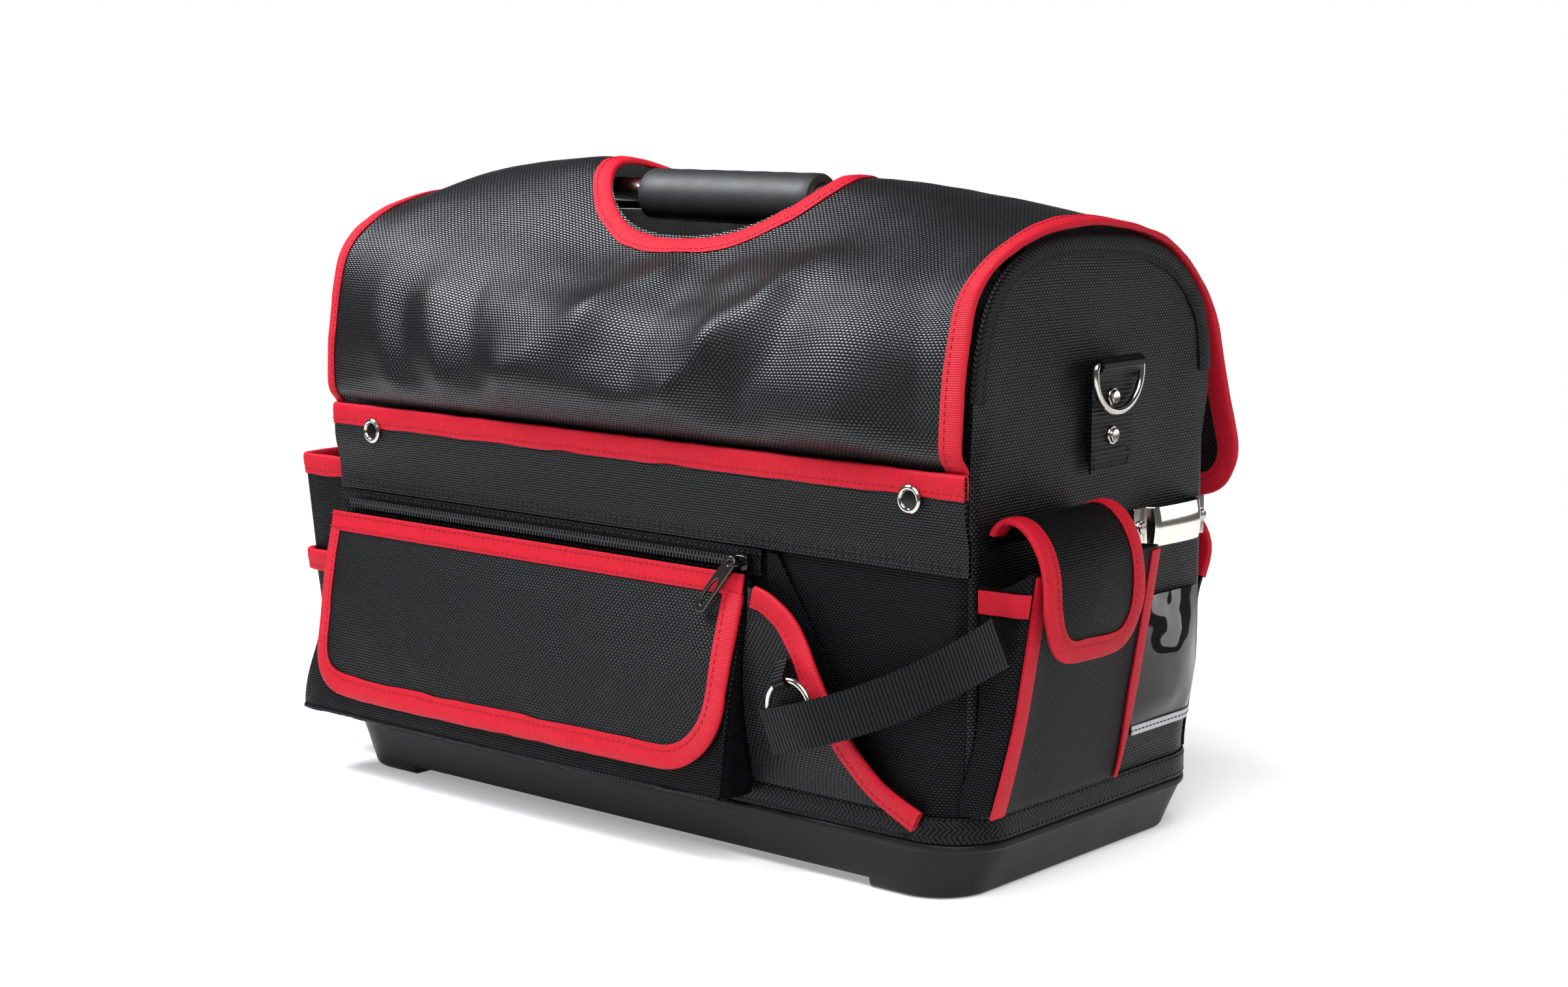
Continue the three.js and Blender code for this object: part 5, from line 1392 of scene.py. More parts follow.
def make_zip():
    """The zip's tape, teeth, slider, bridge and pull."""
    paint = materials()
    x = np.linspace(BAND["left"], 108, 80)
    z = np.linspace(BAND["bottom"] - ZIP["tape"] + 0.2, BAND["bottom"] - 0.8, 8)
    lean = np.clip((BAND["bottom"] - z) / ZIP["tape"], 0, 1)
    grid = vec3(x[None, :], (-114.2 - 0.6 * lean)[:, None], z[:, None])
    clad("zip_tape", grid, 1.0, "herringbone")
    teeth = []
    for row, shift in TEETH:
        along = np.linspace(ZIP["left"] + shift, ZIP["right"] + shift, 60)
        teeth.append((vec3(along, ZIP["face"] - 1.2, ZIP["z"] + row), FORWARD, False))
    pitch = bpy.context.scene.tool_bag_sizes.tooth_pitch
    chain = grown("zip_chain_looks", teeth, teeth_tree(paint["coil"]), {"Pitch": pitch})
    fasten(chain, ("zip_chain",), paint["coil"])
    fasten(zip_slider(), ("zip_slider",), paint["enamel"])
    along, out = np.array(BRIDGE).T
    path = vec3(SLIDER_X + along, ZIP["face"] - 4.5 + out, ZIP["z"])
    fasten(bar("zip_bridge_looks", path, (0, 0, 1), 0.9, 10), (), paint["enamel"])
    fasten(zip_pull(), ("zip_pull",), paint["gunmetal"], "pull")
    seams = [(vec3(x, ZIP["face"] - 0.1, height), FORWARD, False) for height in ZIP_STITCHES]
    stitched("zip_stitches", seams)


def make_front_pocket():
    clad("zip_pocket", zip_pocket(), THIN_CLOTH, "cloth")
    make_pocket_flap()
    make_zip()


# Side pocket and hammer strap
SLANT = {"z": (48, 60, 78, 102, 134, 150, 155), "x": (219, 195, 179, 163, 143, 124, 109)}
SIDE_LEFT = 105.2
# The inner pocket's slanted edge: its height and its place along the front
INNER_EDGE = ((48, 184), (80, 173), (107, 161), (140, 141), (174, 119))


def side_surface(x, z):
    x, z = paired(x, z)
    height = np.clip((z - 48) / 107, 0, 1)
    bulge = 8.5 * np.sin(math.pi * np.minimum(height * 1.2, 1) * 0.8)
    ripple = 0.7 * crumple(x, z, size=34, seed=51) * smooth((z - 52) / 30)
    return vec3(x, -117.2 - (bulge + ripple) * np.clip((230 - x) / 60, 0, 1), z)


def side_pocket():
    rows = []
    for s in np.linspace(0, 6, 50):
        x = np.linspace(SIDE_LEFT, through(SLANT["x"], s), 36)
        rows.append(side_surface(x, np.full(36, through(SLANT["z"], s))))
    return np.stack(rows)


def slant_route():
    s = np.linspace(0, 5.9, 64)
    dx = through(SLANT["x"], s + 0.05) - through(SLANT["x"], s - 0.05)
    dz = through(SLANT["z"], s + 0.05) - through(SLANT["z"], s - 0.05)
    run = np.hypot(dx, dz)
    return through(SLANT["x"], s), through(SLANT["z"], s), -dz / run, dx / run


# The strap's outer run from its ring: how far along, and its depth
STRAP_OUTER = (
    (30, -138), (60, -133.5), (90, -127.5), (115, -122.6),
    (130, -121.2), (145, -121.2), (157, -122.6),
)


def strap_path():
    along = [(122, -116.6), (105, -117.5), (80, -122.5), (55, -128.5), (30, -130), (6, RING["y"] + 4)]
    turn = np.radians(np.linspace(90, 270, 7))
    along += [(3.2 + 4 * math.cos(t), RING["y"] + 4 * math.sin(t)) for t in turn]
    along += [(6, RING["y"] - 4), *STRAP_OUTER]
    run, y = np.array(along).T
    slope = math.radians(STRAP["slope"])
    bow = STRAP["bow"] * np.sin(math.pi * share(run, 0, STRAP_OUTER[-1][0]))
    path = vec3(STRAP["x"] + run * math.cos(slope), y, STRAP["z"] + run * math.sin(slope) - bow)
    return through(path, np.linspace(0, len(path) - 1, 160))


def ring_tab():
    turn = math.radians(RING["tab_angle"])
    out = np.array([math.cos(turn), 0, math.sin(turn)])
    across = np.array([-out[2], 0, out[0]])
    centre = np.array([RING["x"], RING["y"], RING["z"]]) + out * (RING["radius"] - 0.5)
    loop = np.radians(np.linspace(70, 290, 16))
    rows = [(11, 7.2), *[(3.2 * math.cos(t), 3.2 * math.sin(t)) for t in loop], (11, 5.6)]
    path = np.array([centre + out * along + (0, y, 0) for along, y in rows])
    return strap_grid(path, across, RING["tab"], 5)


def make_side_pocket():
    paint = materials()
    clad("side_pocket", side_pocket(), THIN_CLOTH, "panel")
    edge = Tape(side_surface, resampled(slant_route(), 3, side_surface), THIN_CLOTH, 10.5)
    bind(edge, "side_pocket_binding")
    stitched("side_pocket_stitches", edge.seams(), "red_thread")
    rows = []
    for z, x in INNER_EDGE:
        rows.append(vec3(np.linspace(112.5, x, 5), -113.9, z))
    inner = refined(np.stack(rows), 40, 16)
    clad("inner_pocket", inner, 1.2, "cloth")
    slope = math.radians(STRAP["slope"])
    across = np.array([-math.sin(slope), 0, math.cos(slope)])
    path = strap_path()
    width = bpy.context.scene.tool_bag_sizes.strap_width
    grid = strap_grid(path, across, width * 1000, 9)
    strap = clad("hammer_strap", grid, STRAP["thickness"], "webbing")
    length = step_lengths(path).sum() / 1000
    turn = circle(64)
    reach = RING["radius"]
    path = vec3(RING["x"] + reach * np.cos(turn), RING["y"], RING["z"] + reach * np.sin(turn))
    ring = bar("strap_ring_looks", path, (0, 1, 0), RING["wire"], 14, True)
    fasten(ring, ("strap_ring",), paint["nickel"])
    clad("ring_tab", ring_tab(), 1.2, "webbing")


# Ends
def d_ring_path(side):
    turn = np.radians(np.linspace(0, 180, 40))
    half = D_RING["half"]
    x = side * D_RING["bar_x"]
    z = D_RING["bar_z"] - D_RING["drop"] - half * 0.95 * np.sin(turn)
    arc = vec3(x, D_RING["y"] + half * np.cos(turn), z)
    bend = 3.2
    rise = np.radians(np.linspace(0, 90, 6))
    low = D_RING["bar_z"] - bend
    left = vec3(x, D_RING["y"] - half + bend * (1 - np.cos(rise)), low + bend * np.sin(rise))
    right = vec3(x, D_RING["y"] + half - bend * (1 - np.cos(rise)), low + bend * np.sin(rise))[::-1]
    return np.concatenate([arc, left, right])


def d_tab_path(side):
    inner = D_RING["wire"] + 0.4 + 0.75
    back = END_FACE + GAP + 0.75
    front = back + 1.5 + GAP
    bar_x, bar_z = D_RING["bar_x"], D_RING["bar_z"]
    loop = np.radians(np.linspace(165, -70, 22))
    rows = [(back, 224), (back, 262), (back + 0.4, 270)]
    rows += [(bar_x + inner * math.cos(t), bar_z + inner * math.sin(t)) for t in loop]
    rows += [(bar_x - 1.2, 269.8), (front + 0.5, 266.6), (front, 263.2), (front, 240), (front, 218)]
    return np.array([(side * x, D_RING["y"], z) for x, z in rows])


def make_d_rings():
    paint = materials()
    for side, name in ((1, "right"), (-1, "left")):
        ring = bar(f"d_ring_{name}_looks", d_ring_path(side), (1, 0, 0), D_RING["wire"], 16, True)
        fasten(ring, (f"d_ring_{name}",), paint["nickel"], f"{name}_ring")
        path = d_tab_path(side)
        grid = strap_grid(path, (0, 1, 0), D_RING["tab"], 7)
        clad(f"d_tab_{name}", grid, 1.5, "webbing")
        face = END_FACE + 2 * (GAP + 1.5) + GAP
        for level, z in D_RIVETS.items():
            stud = dome(f"d_rivet_{name}_{level}_looks", 5.0, (side * face, D_RING["y"], z), (side, 0, 0))
            fasten(stud, (f"d_rivet_{name}_{level}",), paint["nickel"])
        half = D_RING["tab"] / 2 - 3
        box = [(-half, 221), (half, 221), (half, 230), (-half, 230), (-half, 221)]
        line = np.array([(side * (face - GAP + 0.1), D_RING["y"] + y, z) for y, z in box])
        stitched(f"d_tab_{name}_stitches", [(line, np.array([side * 1.0, 0, 0]), False)])


def pouch_face(y, z):
    y, z = paired(y, z)
    up = share(z, POUCH["bottom"], POUCH["top"], 1.2)
    middle = share(y, POUCH["front"], POUCH["rear"])
    crown = 1.5 * np.sin(math.pi * middle) * (0.4 + up)
    return vec3(PANEL_SEAT + mix(POUCH["shallow"], POUCH["deep"], up**0.8) + crown, y, z)


def end_seat(y, z):
    """How far out a sheet lies against the right end, which rounds off towards its front corner."""
    half_y, radius, centre = wall_section(z)
    past = np.maximum(centre - half_y + radius - y, 0)
    return HALF_LENGTH - radius + np.sqrt((radius + PANEL_SEAT - HALF_LENGTH) ** 2 - past**2)


def pouch_grid():
    rows = []
    for z in (POUCH["bottom"] + 2, 62, 84, 108, 132, 156, POUCH["top"]):
        level = min(z, GUSSET["top"])
        face = pouch_face(np.linspace(POUCH["front"], POUCH["rear"], 6), np.full(6, float(z)))
        seat = end_seat(GUSSET["y"], level)
        side_y = mix(GUSSET["y"], POUCH["front"], 0.25)
        row = [(seat, GUSSET["y"], level), (mix(seat, face[0][0], 0.45), side_y, level), *face]
        row.append((mix(PANEL_SEAT, face[-1][0], 0.5), POUCH["rear"] - 6, z))
        row.append((PANEL_SEAT, POUCH["rear"] + 1, z))
        rows.append(np.array(row))
    floor = rows[0].copy()
    floor[:, 0] = mix(end_seat(floor[:, 1], POUCH["bottom"]), floor[:, 0], 0.25)
    floor[:, 2] = POUCH["bottom"]
    return np.stack([floor, *rows])


POUCH_FLAP_X = (END_FACE + 1.6, END_FACE + 5, 258, 268, 277, 282.5, 284, 281.5)
POUCH_FLAP_Z = (190, 199, 204.5, 202.5, 193.5, 179, 156, 132)
POUCH_FLAP_ROW = 22.0
POUCH_FLAP_TOP = 7 * POUCH_FLAP_ROW


def pouch_flap_surface(y, s):
    y, s = paired(y, s)
    row = 7 - s / POUCH_FLAP_ROW
    middle = share(y, POUCH_FLAP["front"], POUCH_FLAP["rear"])
    crown = 2.5 * np.sin(math.pi * middle) * np.clip(row / 3, 0, 1)
    return vec3(through(POUCH_FLAP_X, row) + crown, y, through(POUCH_FLAP_Z, row))


def corner_strip(from_y, to_y, foot, shift):
    """A tape down the pouch's corner; at its foot it is so wide and so far over."""
    z = np.linspace(POUCH["bottom"] + 0.6, POUCH["top"] - 2, 50)
    up = smooth((z - POUCH["bottom"]) / 60)[:, None]
    side = np.linspace(-1, 1, 7)[None, :]
    y = (from_y + to_y) / 2 + shift * (1 - up) + side * (to_y - from_y) / 2 * mix(foot, 1, up)
    rise = THIN_CLOTH / 2 + GAP + 0.8 + 0.35 * np.cos(side * math.pi / 2)
    return pouch_face(y, z[:, None] + 0 * side) + vec3(rise + 0 * y, 0, 0)


def make_pouch():
    clad("pouch", refined(pouch_grid(), 50, 60), THIN_CLOTH, "cloth")
    front, rear = POUCH["front"], POUCH["rear"]
    for name, spread in (("front", (front, front + 10, 1.15, -3.5)), ("rear", (rear - 8, rear, 0.35, 1.5))):
        strip = corner_strip(*spread).swapaxes(0, 1)
        clad(f"pouch_binding_{name}", strip, 1.4, "red_tape")
    shape = (POUCH_FLAP["front"], POUCH_FLAP["rear"], POUCH_FLAP_TOP, 0.0, POUCH_FLAP["corner"])
    grid = flap_grid(pouch_flap_surface, *shape, columns=40, rows=50)
    flap = clad("pouch_flap", grid, THIN_CLOTH, "cloth")
    middle = pouch_flap_surface(np.full(60, -55.0), np.linspace(0, POUCH_FLAP_TOP, 60))
    tall = step_lengths(middle).sum() / 1000
    route = resampled(flap_route(*shape, 16), 3, pouch_flap_surface)
    edge = Tape(pouch_flap_surface, route, THIN_CLOTH, 10.5)
    bind(edge, "pouch_flap_binding")
    stitched("pouch_stitches", edge.seams(), "red_thread")


# Clip and window
CLIP = {"low": 171.0, "high": 193.0, "thickness": 1.2, "flat": 246.9, "crown": 1.4}
CLIP_RIVETS = {"front": 41.5, "rear": 103.0}
# How far the clip stands out at each place along the end
CLIP_BOW = (
    (36, 0), (44, 0), (47, 0.2), (49, 3.0), (50.5, 5.8), (54, 7), (64, 7.9), (73, 8.3),
    (82, 8.4), (91, 7.8), (94, 6), (96, 3), (98, 0.2), (101, 0), (108, 0),
)


def make_clip():
    paint = materials()
    way = through(np.array(CLIP_BOW, float), np.linspace(0, len(CLIP_BOW) - 1, 90))
    middle = (CLIP["low"] + CLIP["high"]) / 2
    path = vec3(CLIP["flat"] + way[:, 1], way[:, 0], middle)
    tall = CLIP["high"] - CLIP["low"]
    grid = strap_grid(path, (0, 0, 1), tall, 9)
    crown = (grid[..., 2] - path[0, 2]) / tall * 2
    grid[..., 0] -= CLIP["crown"] * crown**2 * np.clip(way[:, 1] / 7, 0, 1)
    clip = bevelled(wall("tape_clip_looks", grid, CLIP["thickness"]), 0.0004, 60)
    fasten(clip, ("tape_clip",), paint["polish"])
    for name, y in CLIP_RIVETS.items():
        stud = dome(f"clip_rivet_{name}_looks", 4.2, (CLIP["flat"] + 0.9, y, middle), (1, 0, 0))
        fasten(stud, (f"clip_rivet_{name}",), paint["nickel"])


def end_rear(y, z):
    """The right end's outside, which rounds off towards its rear corner."""
    half_y, radius, centre = wall_section(z)
    past = np.clip(y - centre - half_y + radius, 0, radius)
    return HALF_LENGTH - radius + np.sqrt(radius**2 - past**2) + CLOTH / 2


def window_surface(y, z):
    y, z = paired(y, z)
    across = share(y, WINDOW["front"], WINDOW["rear"])
    low = WINDOW["bottom"] + 6
    up = share(z, low, WINDOW["top"])
    swell = 5.6 * np.sin(math.pi * across) * np.sin(math.pi * up**0.8)
    wave = 1 + value_noise(y / 21, z / 26, 61) + 0.3 * value_noise(y / 9, z / 12, 62)
    return vec3(end_rear(y, z) + 0.7 + swell + 1.1 * wave * np.sin(math.pi * across) * smooth(up * 6), y, z)


def make_window():
    y = np.linspace(WINDOW["front"], WINDOW["rear"], 40)
    z = np.linspace(WINDOW["bottom"], WINDOW["top"], 44)
    clad("window_film", window_surface(y[None, :], z[:, None]), 0.8, "film")
    z = np.linspace(WINDOW["bottom"], WINDOW["bottom"] + 5, 5)
    grid = vec3(end_rear(y[None, :], z[:, None]) + 1.8, y[None, :], z[:, None])
    clad("window_strip", grid, 0.8, "silver")
    out = np.array([1.0, 0, 0])
    level = np.full(y.shape, WINDOW["bottom"] + 2.5)
    line = vec3(end_rear(y, level) + 2.25, y, level)
    stitched("window_stitches", [(line, out, False)], Pitch=0.0036)


def make_gusset():
    """The tape follows the pouch's own cloth from the wall to its front corner."""
    pouch = refined(pouch_grid(), 50, 60)[:, :14]
    outside = pouch + grid_normals(pouch) * (THIN_CLOTH / 2 + GAP + 0.7)
    lines = outside.swapaxes(0, 1)
    rows = []
    for level in np.linspace(GUSSET["tape_low"], GUSSET["tape_high"], 7):
        row = [[np.interp(level, line[:, 2], line[:, k]) for k in range(3)] for line in lines]
        rows.append(np.array(row))
    clad("gusset_binding", np.stack(rows), 1.4, "red_tape")


# Left end
def left_face(y, z):
    y, z = paired(y, z)
    up = (z - LEFT["bottom"]) / (LEFT["top"] - LEFT["bottom"])
    middle = share(y, LEFT["front"], LEFT["rear"])
    ripple = 0.7 * crumple(y, z, size=40, seed=71) * smooth((LEFT["top"] - z) / 30)
    swell = 3 * np.sin(math.pi * middle) + ripple
    return vec3(-PANEL_SEAT - mix(LEFT["shallow"], LEFT["deep"], up) - swell, y, z)


def lower_face(y, z):
    lift = 2.2 + 2.4 * np.clip((z - 60) / 70, 0, 1.2)
    return left_face(y, z) - vec3(lift, 0 * lift, 0 * lift)


LEFT_COLUMNS = np.array(
    [LEFT["rear"], LEFT["rear"] - 5, 70, 35, 0, -35, -70, LEFT["front"] + 5, LEFT["front"]]
)


def left_tray(z, lift):
    """The left pocket's columns at one height, from the wall round its face and back to the wall."""
    face = left_face(LEFT_COLUMNS, np.full(len(LEFT_COLUMNS), float(z)))
    face[:, 0] -= lift
    sides = []
    for corner, out in ((face[0], lift), (face[-1], -lift)):
        seat = np.array([-END_FACE - GAP, corner[1] + out, z])
        sides.append((seat, mix(seat, corner + (0, out, 0), 0.8)))
    return np.array([sides[0][0], sides[0][1], *face[1:-1], sides[1][1], sides[1][0]])


def left_round(lift):
    """The pocket's outside as a surface of column number and height."""

    def surface(u, z):
        u, z = paired(u, z)
        return np.stack([through(left_tray(height, lift), column) for column, height in zip(u, z)])

    return surface


def make_left_end():
    front, rear = LEFT["front"], LEFT["rear"]
    grid = np.stack([left_tray(z, 0.0) for z in (50, 70, 94, 126, 158, LEFT["top"])])
    floor = grid[0] * (0, 1, 0) + (0, 0, LEFT["bottom"] - 1)
    floor[:, 0] = mix(-PANEL_SEAT, grid[0][:, 0], 0.4)
    grid = refined(np.concatenate([floor[None], grid]), 50, 80)
    clad("left_pocket", grid, THIN_CLOTH, "cloth")
    y = np.linspace(rear - 4, front + 4, 70)
    z = np.linspace(54, LEFT["lower"], 40)
    grid = lower_face(y[None, :], z[:, None])
    clad("left_lower_pocket", grid, THIN_CLOTH, "cloth")
    seams = []
    last = len(LEFT_COLUMNS) + 1
    for name, lift, height in (("left_pocket", 0.0, LEFT["top"]), ("left_lower", 4.4, LEFT["lower"])):
        route = route_of([(column, height, 0, -1) for column in np.linspace(0.1, last - 0.1, 80)])
        edge = Tape(left_round(lift), route, THIN_CLOTH, 11)
        bind(edge, f"{name}_binding")
        seams += edge.seams()
    stitched("left_stitches", seams, "red_thread")


# Back pocket
def back_face(x, z):
    x, z = paired(x, z)
    up = share(z, BACK["bottom"], BACK["top"])
    half_y, radius, centre = wall_section(z)
    past = np.clip(np.abs(x) - HALF_LENGTH + radius, 0, radius)
    seat = centre + half_y - radius + np.sqrt(radius**2 - past**2) + CLOTH / 2 + 2.8
    swell = BACK["sag"] * np.sin(0.62 * math.pi * up) + 2.6 * (1 - smooth((z - BACK["bottom"]) / 60))
    free = mix(1, smooth((z - 128) / 34), smooth((np.abs(x) - 185) / 45))
    ripple = 0.8 * crumple(x, z, size=60, seed=81) * smooth((z - 60) / 20)
    return vec3(x, seat + (swell + ripple) * free, z)


def back_low(x, z):
    return back_face(x, BACK["top"] + BACK["bottom"] - z)


def make_back_pocket():
    half, top, bottom = BACK["half"], BACK["top"], BACK["bottom"]
    grid = flap_grid(back_low, -half, half, top, bottom, BACK["corner"])
    clad("back_pocket", grid, THIN_CLOTH, "cloth")
    route = resampled(flap_route(-half, half, top, bottom, BACK["corner"], 96), 5, back_low)
    edge = Tape(back_low, route, THIN_CLOTH, 11)
    bind(edge, "back_pocket_binding")
    stitched("back_stitches", edge.seams(), "red_thread")


# Stage
def area_light(name, spot, aim, size, power, tint):
    lamp = bpy.data.lights.new(name, "AREA")
    lamp.color = tint
    lamp.shape = "RECTANGLE"
    lamp.size, lamp.size_y = size
    lamp.energy = power
    holder = bpy.data.objects.new(name, lamp)
    spot = Vector(place(spot))
    look = spot - Vector(place(aim))
    holder.matrix_world = Matrix.Translation(spot) @ look.to_track_quat("Z", "Y").to_matrix().to_4x4()
    bpy.context.collection.objects.link(holder)


# The camera's place: the height it looks at, and its way from there along its own right, up and back
VIEW = {"height": 215.0, "right": 20.19, "up": -33.42, "back": 1594.5, "sensor": 36.0}
# Each lamp: its place, its size in metres, its power and its tint
LAMPS = {
    "key_light": ((-500, -430, 950), (0.42, 0.42), 16.5, (0.9, 0.95, 1)),
    "top_light": ((850, -900, 1650), (1.5, 1.5), 52, (1, 1, 1)),
    "end_light": ((1150, 1250, 330), (0.8, 0.5), 3, (1, 1, 1)),
}
LAMP_AIM = (0, 0, 200)


def make_camera(look):
    """The photo's camera. Gives back its way back from the bag."""
    azimuth, elevation = look.azimuth, look.elevation
    level = math.cos(elevation)
    back = np.array([math.sin(azimuth) * level, -math.cos(azimuth) * level, math.sin(elevation)])
    right = np.array([math.cos(azimuth), math.sin(azimuth), 0])
    up = np.cross(back, right)
    eye = np.array([0, 0, VIEW["height"]]) + right * VIEW["right"] + up * VIEW["up"] + back * VIEW["back"]
    camera = bpy.data.objects.new("photo_camera", bpy.data.cameras.new("photo_camera"))
    camera.data.sensor_width = VIEW["sensor"]
    camera.data.lens = look.lens
    turn = Matrix((right, up, back)).transposed().to_4x4()
    camera.matrix_world = Matrix.Translation(place(eye)) @ turn
    bpy.context.collection.objects.link(camera)
    bpy.context.scene.camera = camera
    return back


def make_floor(look):
    """A white disc that glows more towards its rim."""
    turn = circle(64)
    reach = look.floor_radius * 1000
    rim = vec3(reach * np.cos(turn), reach * np.sin(turn), -0.4)
    floor = new_piece("studio_floor", rim, [list(range(64))])
    net = Paint("Studio floor")
    away = net.add("ShaderNodeVectorMath", {0: net.object_vector()}, operation="LENGTH").outputs["Value"]
    pale = net.done({
        "Base Color": (0.86, 0.86, 0.86, 1),
        "Roughness": 0.7,
        "Emission Strength": look.floor_glow,
        "Emission Color": net.ranged(away, 0.5, look.floor_radius, 0.6),
    })
    floor.data.materials.append(pale)


def make_world(look, back):
    """A dim room with a white backdrop low behind the bag."""
    world = bpy.data.worlds.new("Studio")
    world.use_nodes = True
    net = Net(world.node_tree)
    way = net.add("ShaderNodeTexCoord").outputs["Generated"]
    facing = net.add("ShaderNodeVectorMath", {0: way, 1: -back}, operation="DOT_PRODUCT").outputs["Value"]
    low = net.ranged(net.split(way)["Z"], 0.14, 0.05)
    backdrop = net.math("MULTIPLY", net.ranged(facing, 0.6, 0.9), low)
    shade = net.math("MULTIPLY_ADD", backdrop, 1 - look.ambient, look.ambient)
    net.feed(world.node_tree.nodes["Background"].inputs["Color"], shade)
    bpy.context.scene.world = world


def make_stage():
    look = bpy.context.scene.tool_bag_stage
    back = make_camera(look)
    make_floor(look)
    make_world(look, back)
    bpy.context.scene.view_settings.view_transform = "Standard"
    for name, (where, size, power, tint) in LAMPS.items():
        area_light(name, where, LAMP_AIM, size, power * look.key, tint)


class ToolBagFinish(bpy.types.PropertyGroup):
    """Colours and weave of the bag"""

    cloth_colour: FloatVectorProperty(
        name="Cloth", description="Woven polyester",
        subtype="COLOR", default=(0.0058, 0.0059, 0.0066), min=0, max=1,
    )
    tape_colour: FloatVectorProperty(
        name="Tape", description="Binding tape", subtype="COLOR", default=(0.48, 0.004, 0.018), min=0, max=1
    )
    plastic_colour: FloatVectorProperty(
        name="Base", description="Moulded base",
        subtype="COLOR", default=(0.0085, 0.008, 0.0082), min=0, max=1,
    )
    metal_colour: FloatVectorProperty(
        name="Metal", description="Nickel plate", subtype="COLOR", default=(0.78, 0.73, 0.67), min=0, max=1
    )
    thread_width: FloatProperty(
        name="Thread", description="Length of the cover's oval threads",
        default=0.0027, min=0.0003, unit="LENGTH",
    )


class ToolBagSizes(bpy.types.PropertyGroup):
    """Sizes of the sewn details"""

    stitch_pitch: FloatProperty(
        name="Stitch Pitch", description="From stitch to stitch", default=0.0042, min=0.001, unit="LENGTH"
    )
    stitch_length: FloatProperty(
        name="Stitch Length", description="Length of one stitch", default=0.0032, min=0.0005, unit="LENGTH"
    )
    stitch_thread: FloatProperty(
        name="Sewing Thread", description="Width of the sewing thread",
        default=0.0008, min=0.0001, unit="LENGTH",
    )
    tooth_pitch: FloatProperty(
        name="Tooth Pitch", description="From tooth to tooth of the zip",
        default=0.0024, min=0.001, unit="LENGTH",
    )
    strap_width: FloatProperty(
        name="Strap Width", description="Width of the hammer strap", default=0.025, min=0.01, unit="LENGTH"
    )
    fold_depth: FloatProperty(
        name="Folds", description="How far the cover's folds stand out",
        default=1.25, min=0,
    )


class ToolBagStage(bpy.types.PropertyGroup):
    """Camera and light"""

    azimuth: FloatProperty(
        name="Azimuth", description="Camera angle",
        default=math.radians(40.42), subtype="ANGLE",
    )
    elevation: FloatProperty(
        name="Elevation", description="Camera height",
        default=math.radians(8.83), subtype="ANGLE",
    )
    lens: FloatProperty(name="Lens", description="Focal length in millimetres", default=61.6, min=10)
    ambient: FloatProperty(
        name="Ambient", description="Light of the room away from the backdrop",
        default=0.11, min=0,
    )
    floor_radius: FloatProperty(
        name="Floor", description="Radius of the floor",
        default=1.25, min=1, unit="LENGTH",
    )
    floor_glow: FloatProperty(
        name="Floor Glow", description="Light that the white floor gives off",
        default=0.53, min=0,
    )
    key: FloatProperty(name="Lamps", description="Strength of the lamps", default=1.0, min=0)


class Step:
    """Runs one maker and fails if it leaves the scene as it was."""

    def execute(self, context):
        before = len(bpy.data.objects)
        self.make()
        if len(bpy.data.objects) == before:
            raise RuntimeError(f"{self.bl_label} made no piece")
        return {"FINISHED"}


class TOOL_BAG_OT_shell(Step, bpy.types.Operator):
    """Makes the base, the walls and their black tapes"""

    bl_idname = "tool_bag.shell"
    bl_label = "Base and Walls"
    make = staticmethod(make_shell)


class TOOL_BAG_OT_cover(Step, bpy.types.Operator):
    """Makes the cover and its red bindings"""

    bl_idname = "tool_bag.cover"
    bl_label = "Cover"
    make = staticmethod(make_cover)


class TOOL_BAG_OT_handle(Step, bpy.types.Operator):
    """Makes the tube and the foam grip"""

    bl_idname = "tool_bag.handle"
    bl_label = "Handle"
    make = staticmethod(make_handle)


class TOOL_BAG_OT_band(Step, bpy.types.Operator):
    """Makes the band, its binding and its rivets"""

    bl_idname = "tool_bag.band"
    bl_label = "Front Band"
    make = staticmethod(make_band)


class TOOL_BAG_OT_front_pocket(Step, bpy.types.Operator):
    """Makes the zip pocket, its zip and its flap"""

    bl_idname = "tool_bag.front_pocket"
    bl_label = "Front Pocket"
    make = staticmethod(make_front_pocket)


class TOOL_BAG_OT_side_pocket(Step, bpy.types.Operator):
    """Makes the side pocket, the strap and its ring"""

    bl_idname = "tool_bag.side_pocket"
    bl_label = "Side Pocket"
    make = staticmethod(make_side_pocket)


class TOOL_BAG_OT_d_rings(Step, bpy.types.Operator):
    """Makes the rings of both ends and their tabs"""

    bl_idname = "tool_bag.d_rings"
    bl_label = "D-Rings"
    make = staticmethod(make_d_rings)


class TOOL_BAG_OT_pouch(Step, bpy.types.Operator):
    """Makes the pouch of the right end"""

    bl_idname = "tool_bag.pouch"
    bl_label = "Pouch"
    make = staticmethod(make_pouch)


class TOOL_BAG_OT_gusset(Step, bpy.types.Operator):
    """Makes the tape round the pouch's gusset"""

    bl_idname = "tool_bag.gusset"
    bl_label = "Gusset Tape"
    make = staticmethod(make_gusset)


class TOOL_BAG_OT_clip(Step, bpy.types.Operator):
    """Makes the bowed clip and its rivets"""

    bl_idname = "tool_bag.clip"
    bl_label = "Tape Clip"
    make = staticmethod(make_clip)


class TOOL_BAG_OT_window(Step, bpy.types.Operator):
    """Makes the clear window and its strip"""

    bl_idname = "tool_bag.window"
    bl_label = "Window"
    make = staticmethod(make_window)


class TOOL_BAG_OT_left_end(Step, bpy.types.Operator):
    """Makes the pockets of the left end"""

    bl_idname = "tool_bag.left_end"
    bl_label = "Left End"
    make = staticmethod(make_left_end)


class TOOL_BAG_OT_back_pocket(Step, bpy.types.Operator):
    """Makes the pocket of the back"""

    bl_idname = "tool_bag.back_pocket"
    bl_label = "Back Pocket"
    make = staticmethod(make_back_pocket)


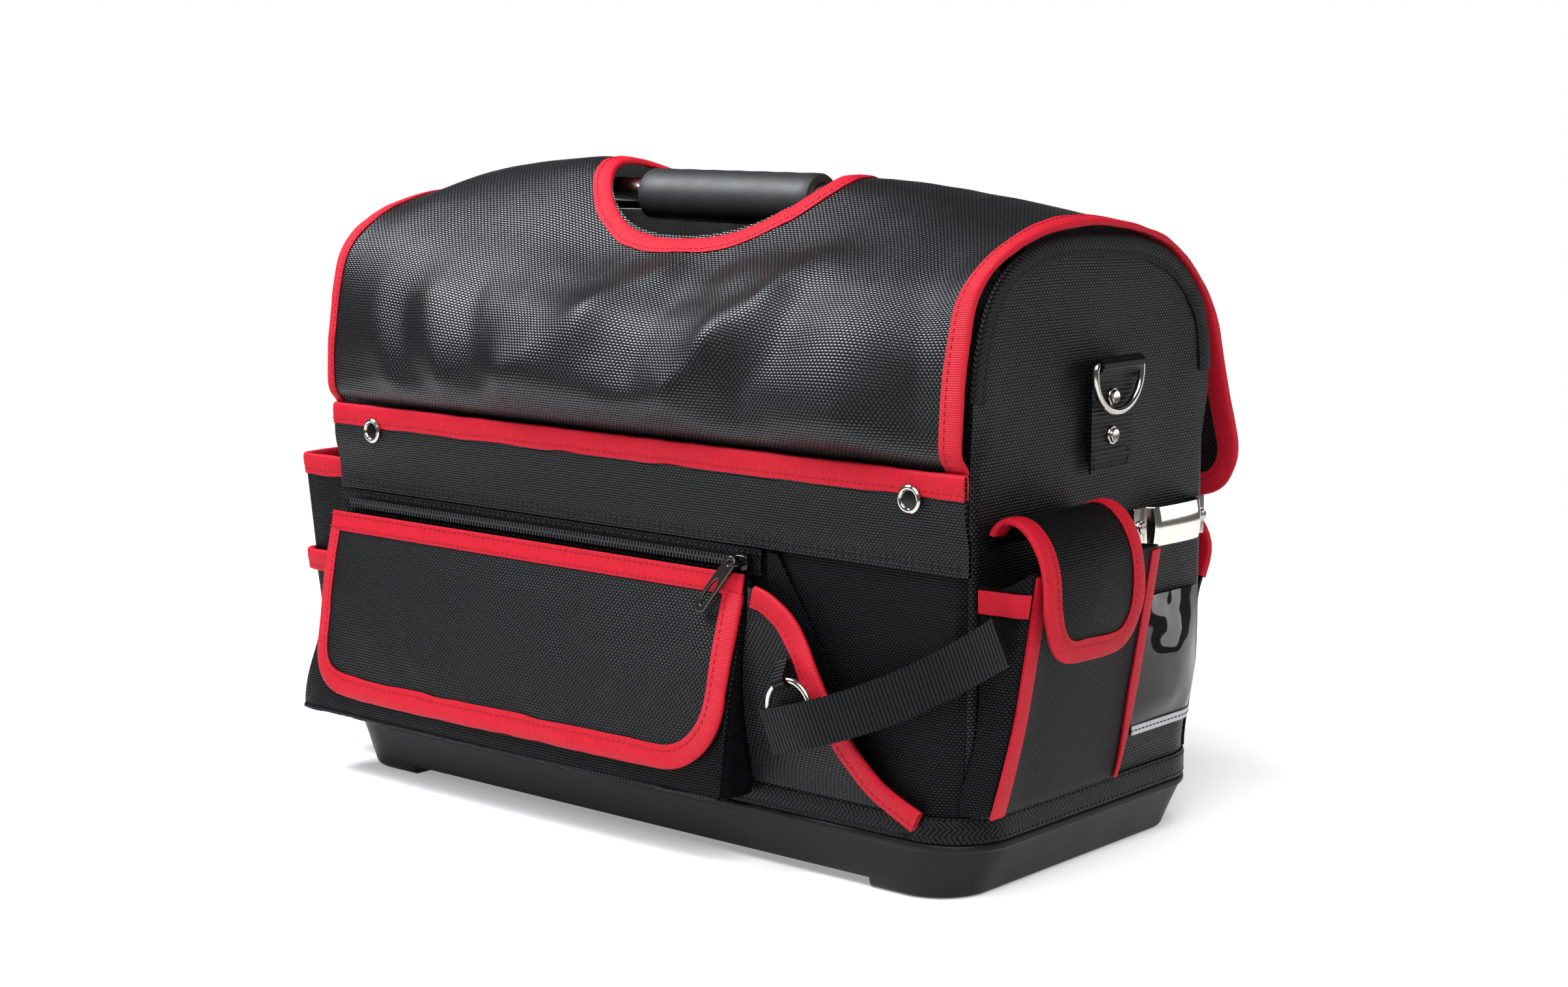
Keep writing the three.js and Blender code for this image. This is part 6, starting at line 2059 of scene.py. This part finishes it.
class TOOL_BAG_OT_stage(Step, bpy.types.Operator):
    """Makes the floor, the lights and the camera"""

    bl_idname = "tool_bag.stage"
    bl_label = "Stage"
    make = staticmethod(make_stage)


OPERATORS = (
    TOOL_BAG_OT_shell,
    TOOL_BAG_OT_cover,
    TOOL_BAG_OT_handle,
    TOOL_BAG_OT_band,
    TOOL_BAG_OT_front_pocket,
    TOOL_BAG_OT_side_pocket,
    TOOL_BAG_OT_d_rings,
    TOOL_BAG_OT_pouch,
    TOOL_BAG_OT_gusset,
    TOOL_BAG_OT_clip,
    TOOL_BAG_OT_window,
    TOOL_BAG_OT_left_end,
    TOOL_BAG_OT_back_pocket,
    TOOL_BAG_OT_stage,
)


class TOOL_BAG_PT_panel(bpy.types.Panel):
    """Settings and steps of the tool bag"""

    bl_label = "Tool Bag"
    bl_space_type = "VIEW_3D"
    bl_region_type = "UI"
    bl_category = "Tool Bag"

    def draw(self, context):
        scene = context.scene
        for settings in (scene.tool_bag_finish, scene.tool_bag_sizes, scene.tool_bag_stage):
            for key in settings.bl_rna.properties.keys():
                if key not in ("rna_type", "name"):
                    self.layout.prop(settings, key)
        for step in OPERATORS:
            self.layout.operator(step.bl_idname)


CLASSES = (ToolBagFinish, ToolBagSizes, ToolBagStage, *OPERATORS, TOOL_BAG_PT_panel)


def register():
    for cls in CLASSES:
        bpy.utils.register_class(cls)
    bpy.types.Scene.tool_bag_finish = PointerProperty(type=ToolBagFinish)
    bpy.types.Scene.tool_bag_sizes = PointerProperty(type=ToolBagSizes)
    bpy.types.Scene.tool_bag_stage = PointerProperty(type=ToolBagStage)


def unregister():
    del bpy.types.Scene.tool_bag_stage
    del bpy.types.Scene.tool_bag_sizes
    del bpy.types.Scene.tool_bag_finish
    for cls in reversed(CLASSES):
        bpy.utils.unregister_class(cls)


def main():
    register()
    bpy.ops.tool_bag.shell()
    bpy.ops.tool_bag.cover()
    bpy.ops.tool_bag.handle()
    bpy.ops.tool_bag.band()
    bpy.ops.tool_bag.front_pocket()
    bpy.ops.tool_bag.side_pocket()
    bpy.ops.tool_bag.d_rings()
    bpy.ops.tool_bag.pouch()
    bpy.ops.tool_bag.gusset()
    bpy.ops.tool_bag.clip()
    bpy.ops.tool_bag.window()
    bpy.ops.tool_bag.left_end()
    bpy.ops.tool_bag.back_pocket()
    bpy.ops.tool_bag.stage()


if __name__ == "__main__":
    main()
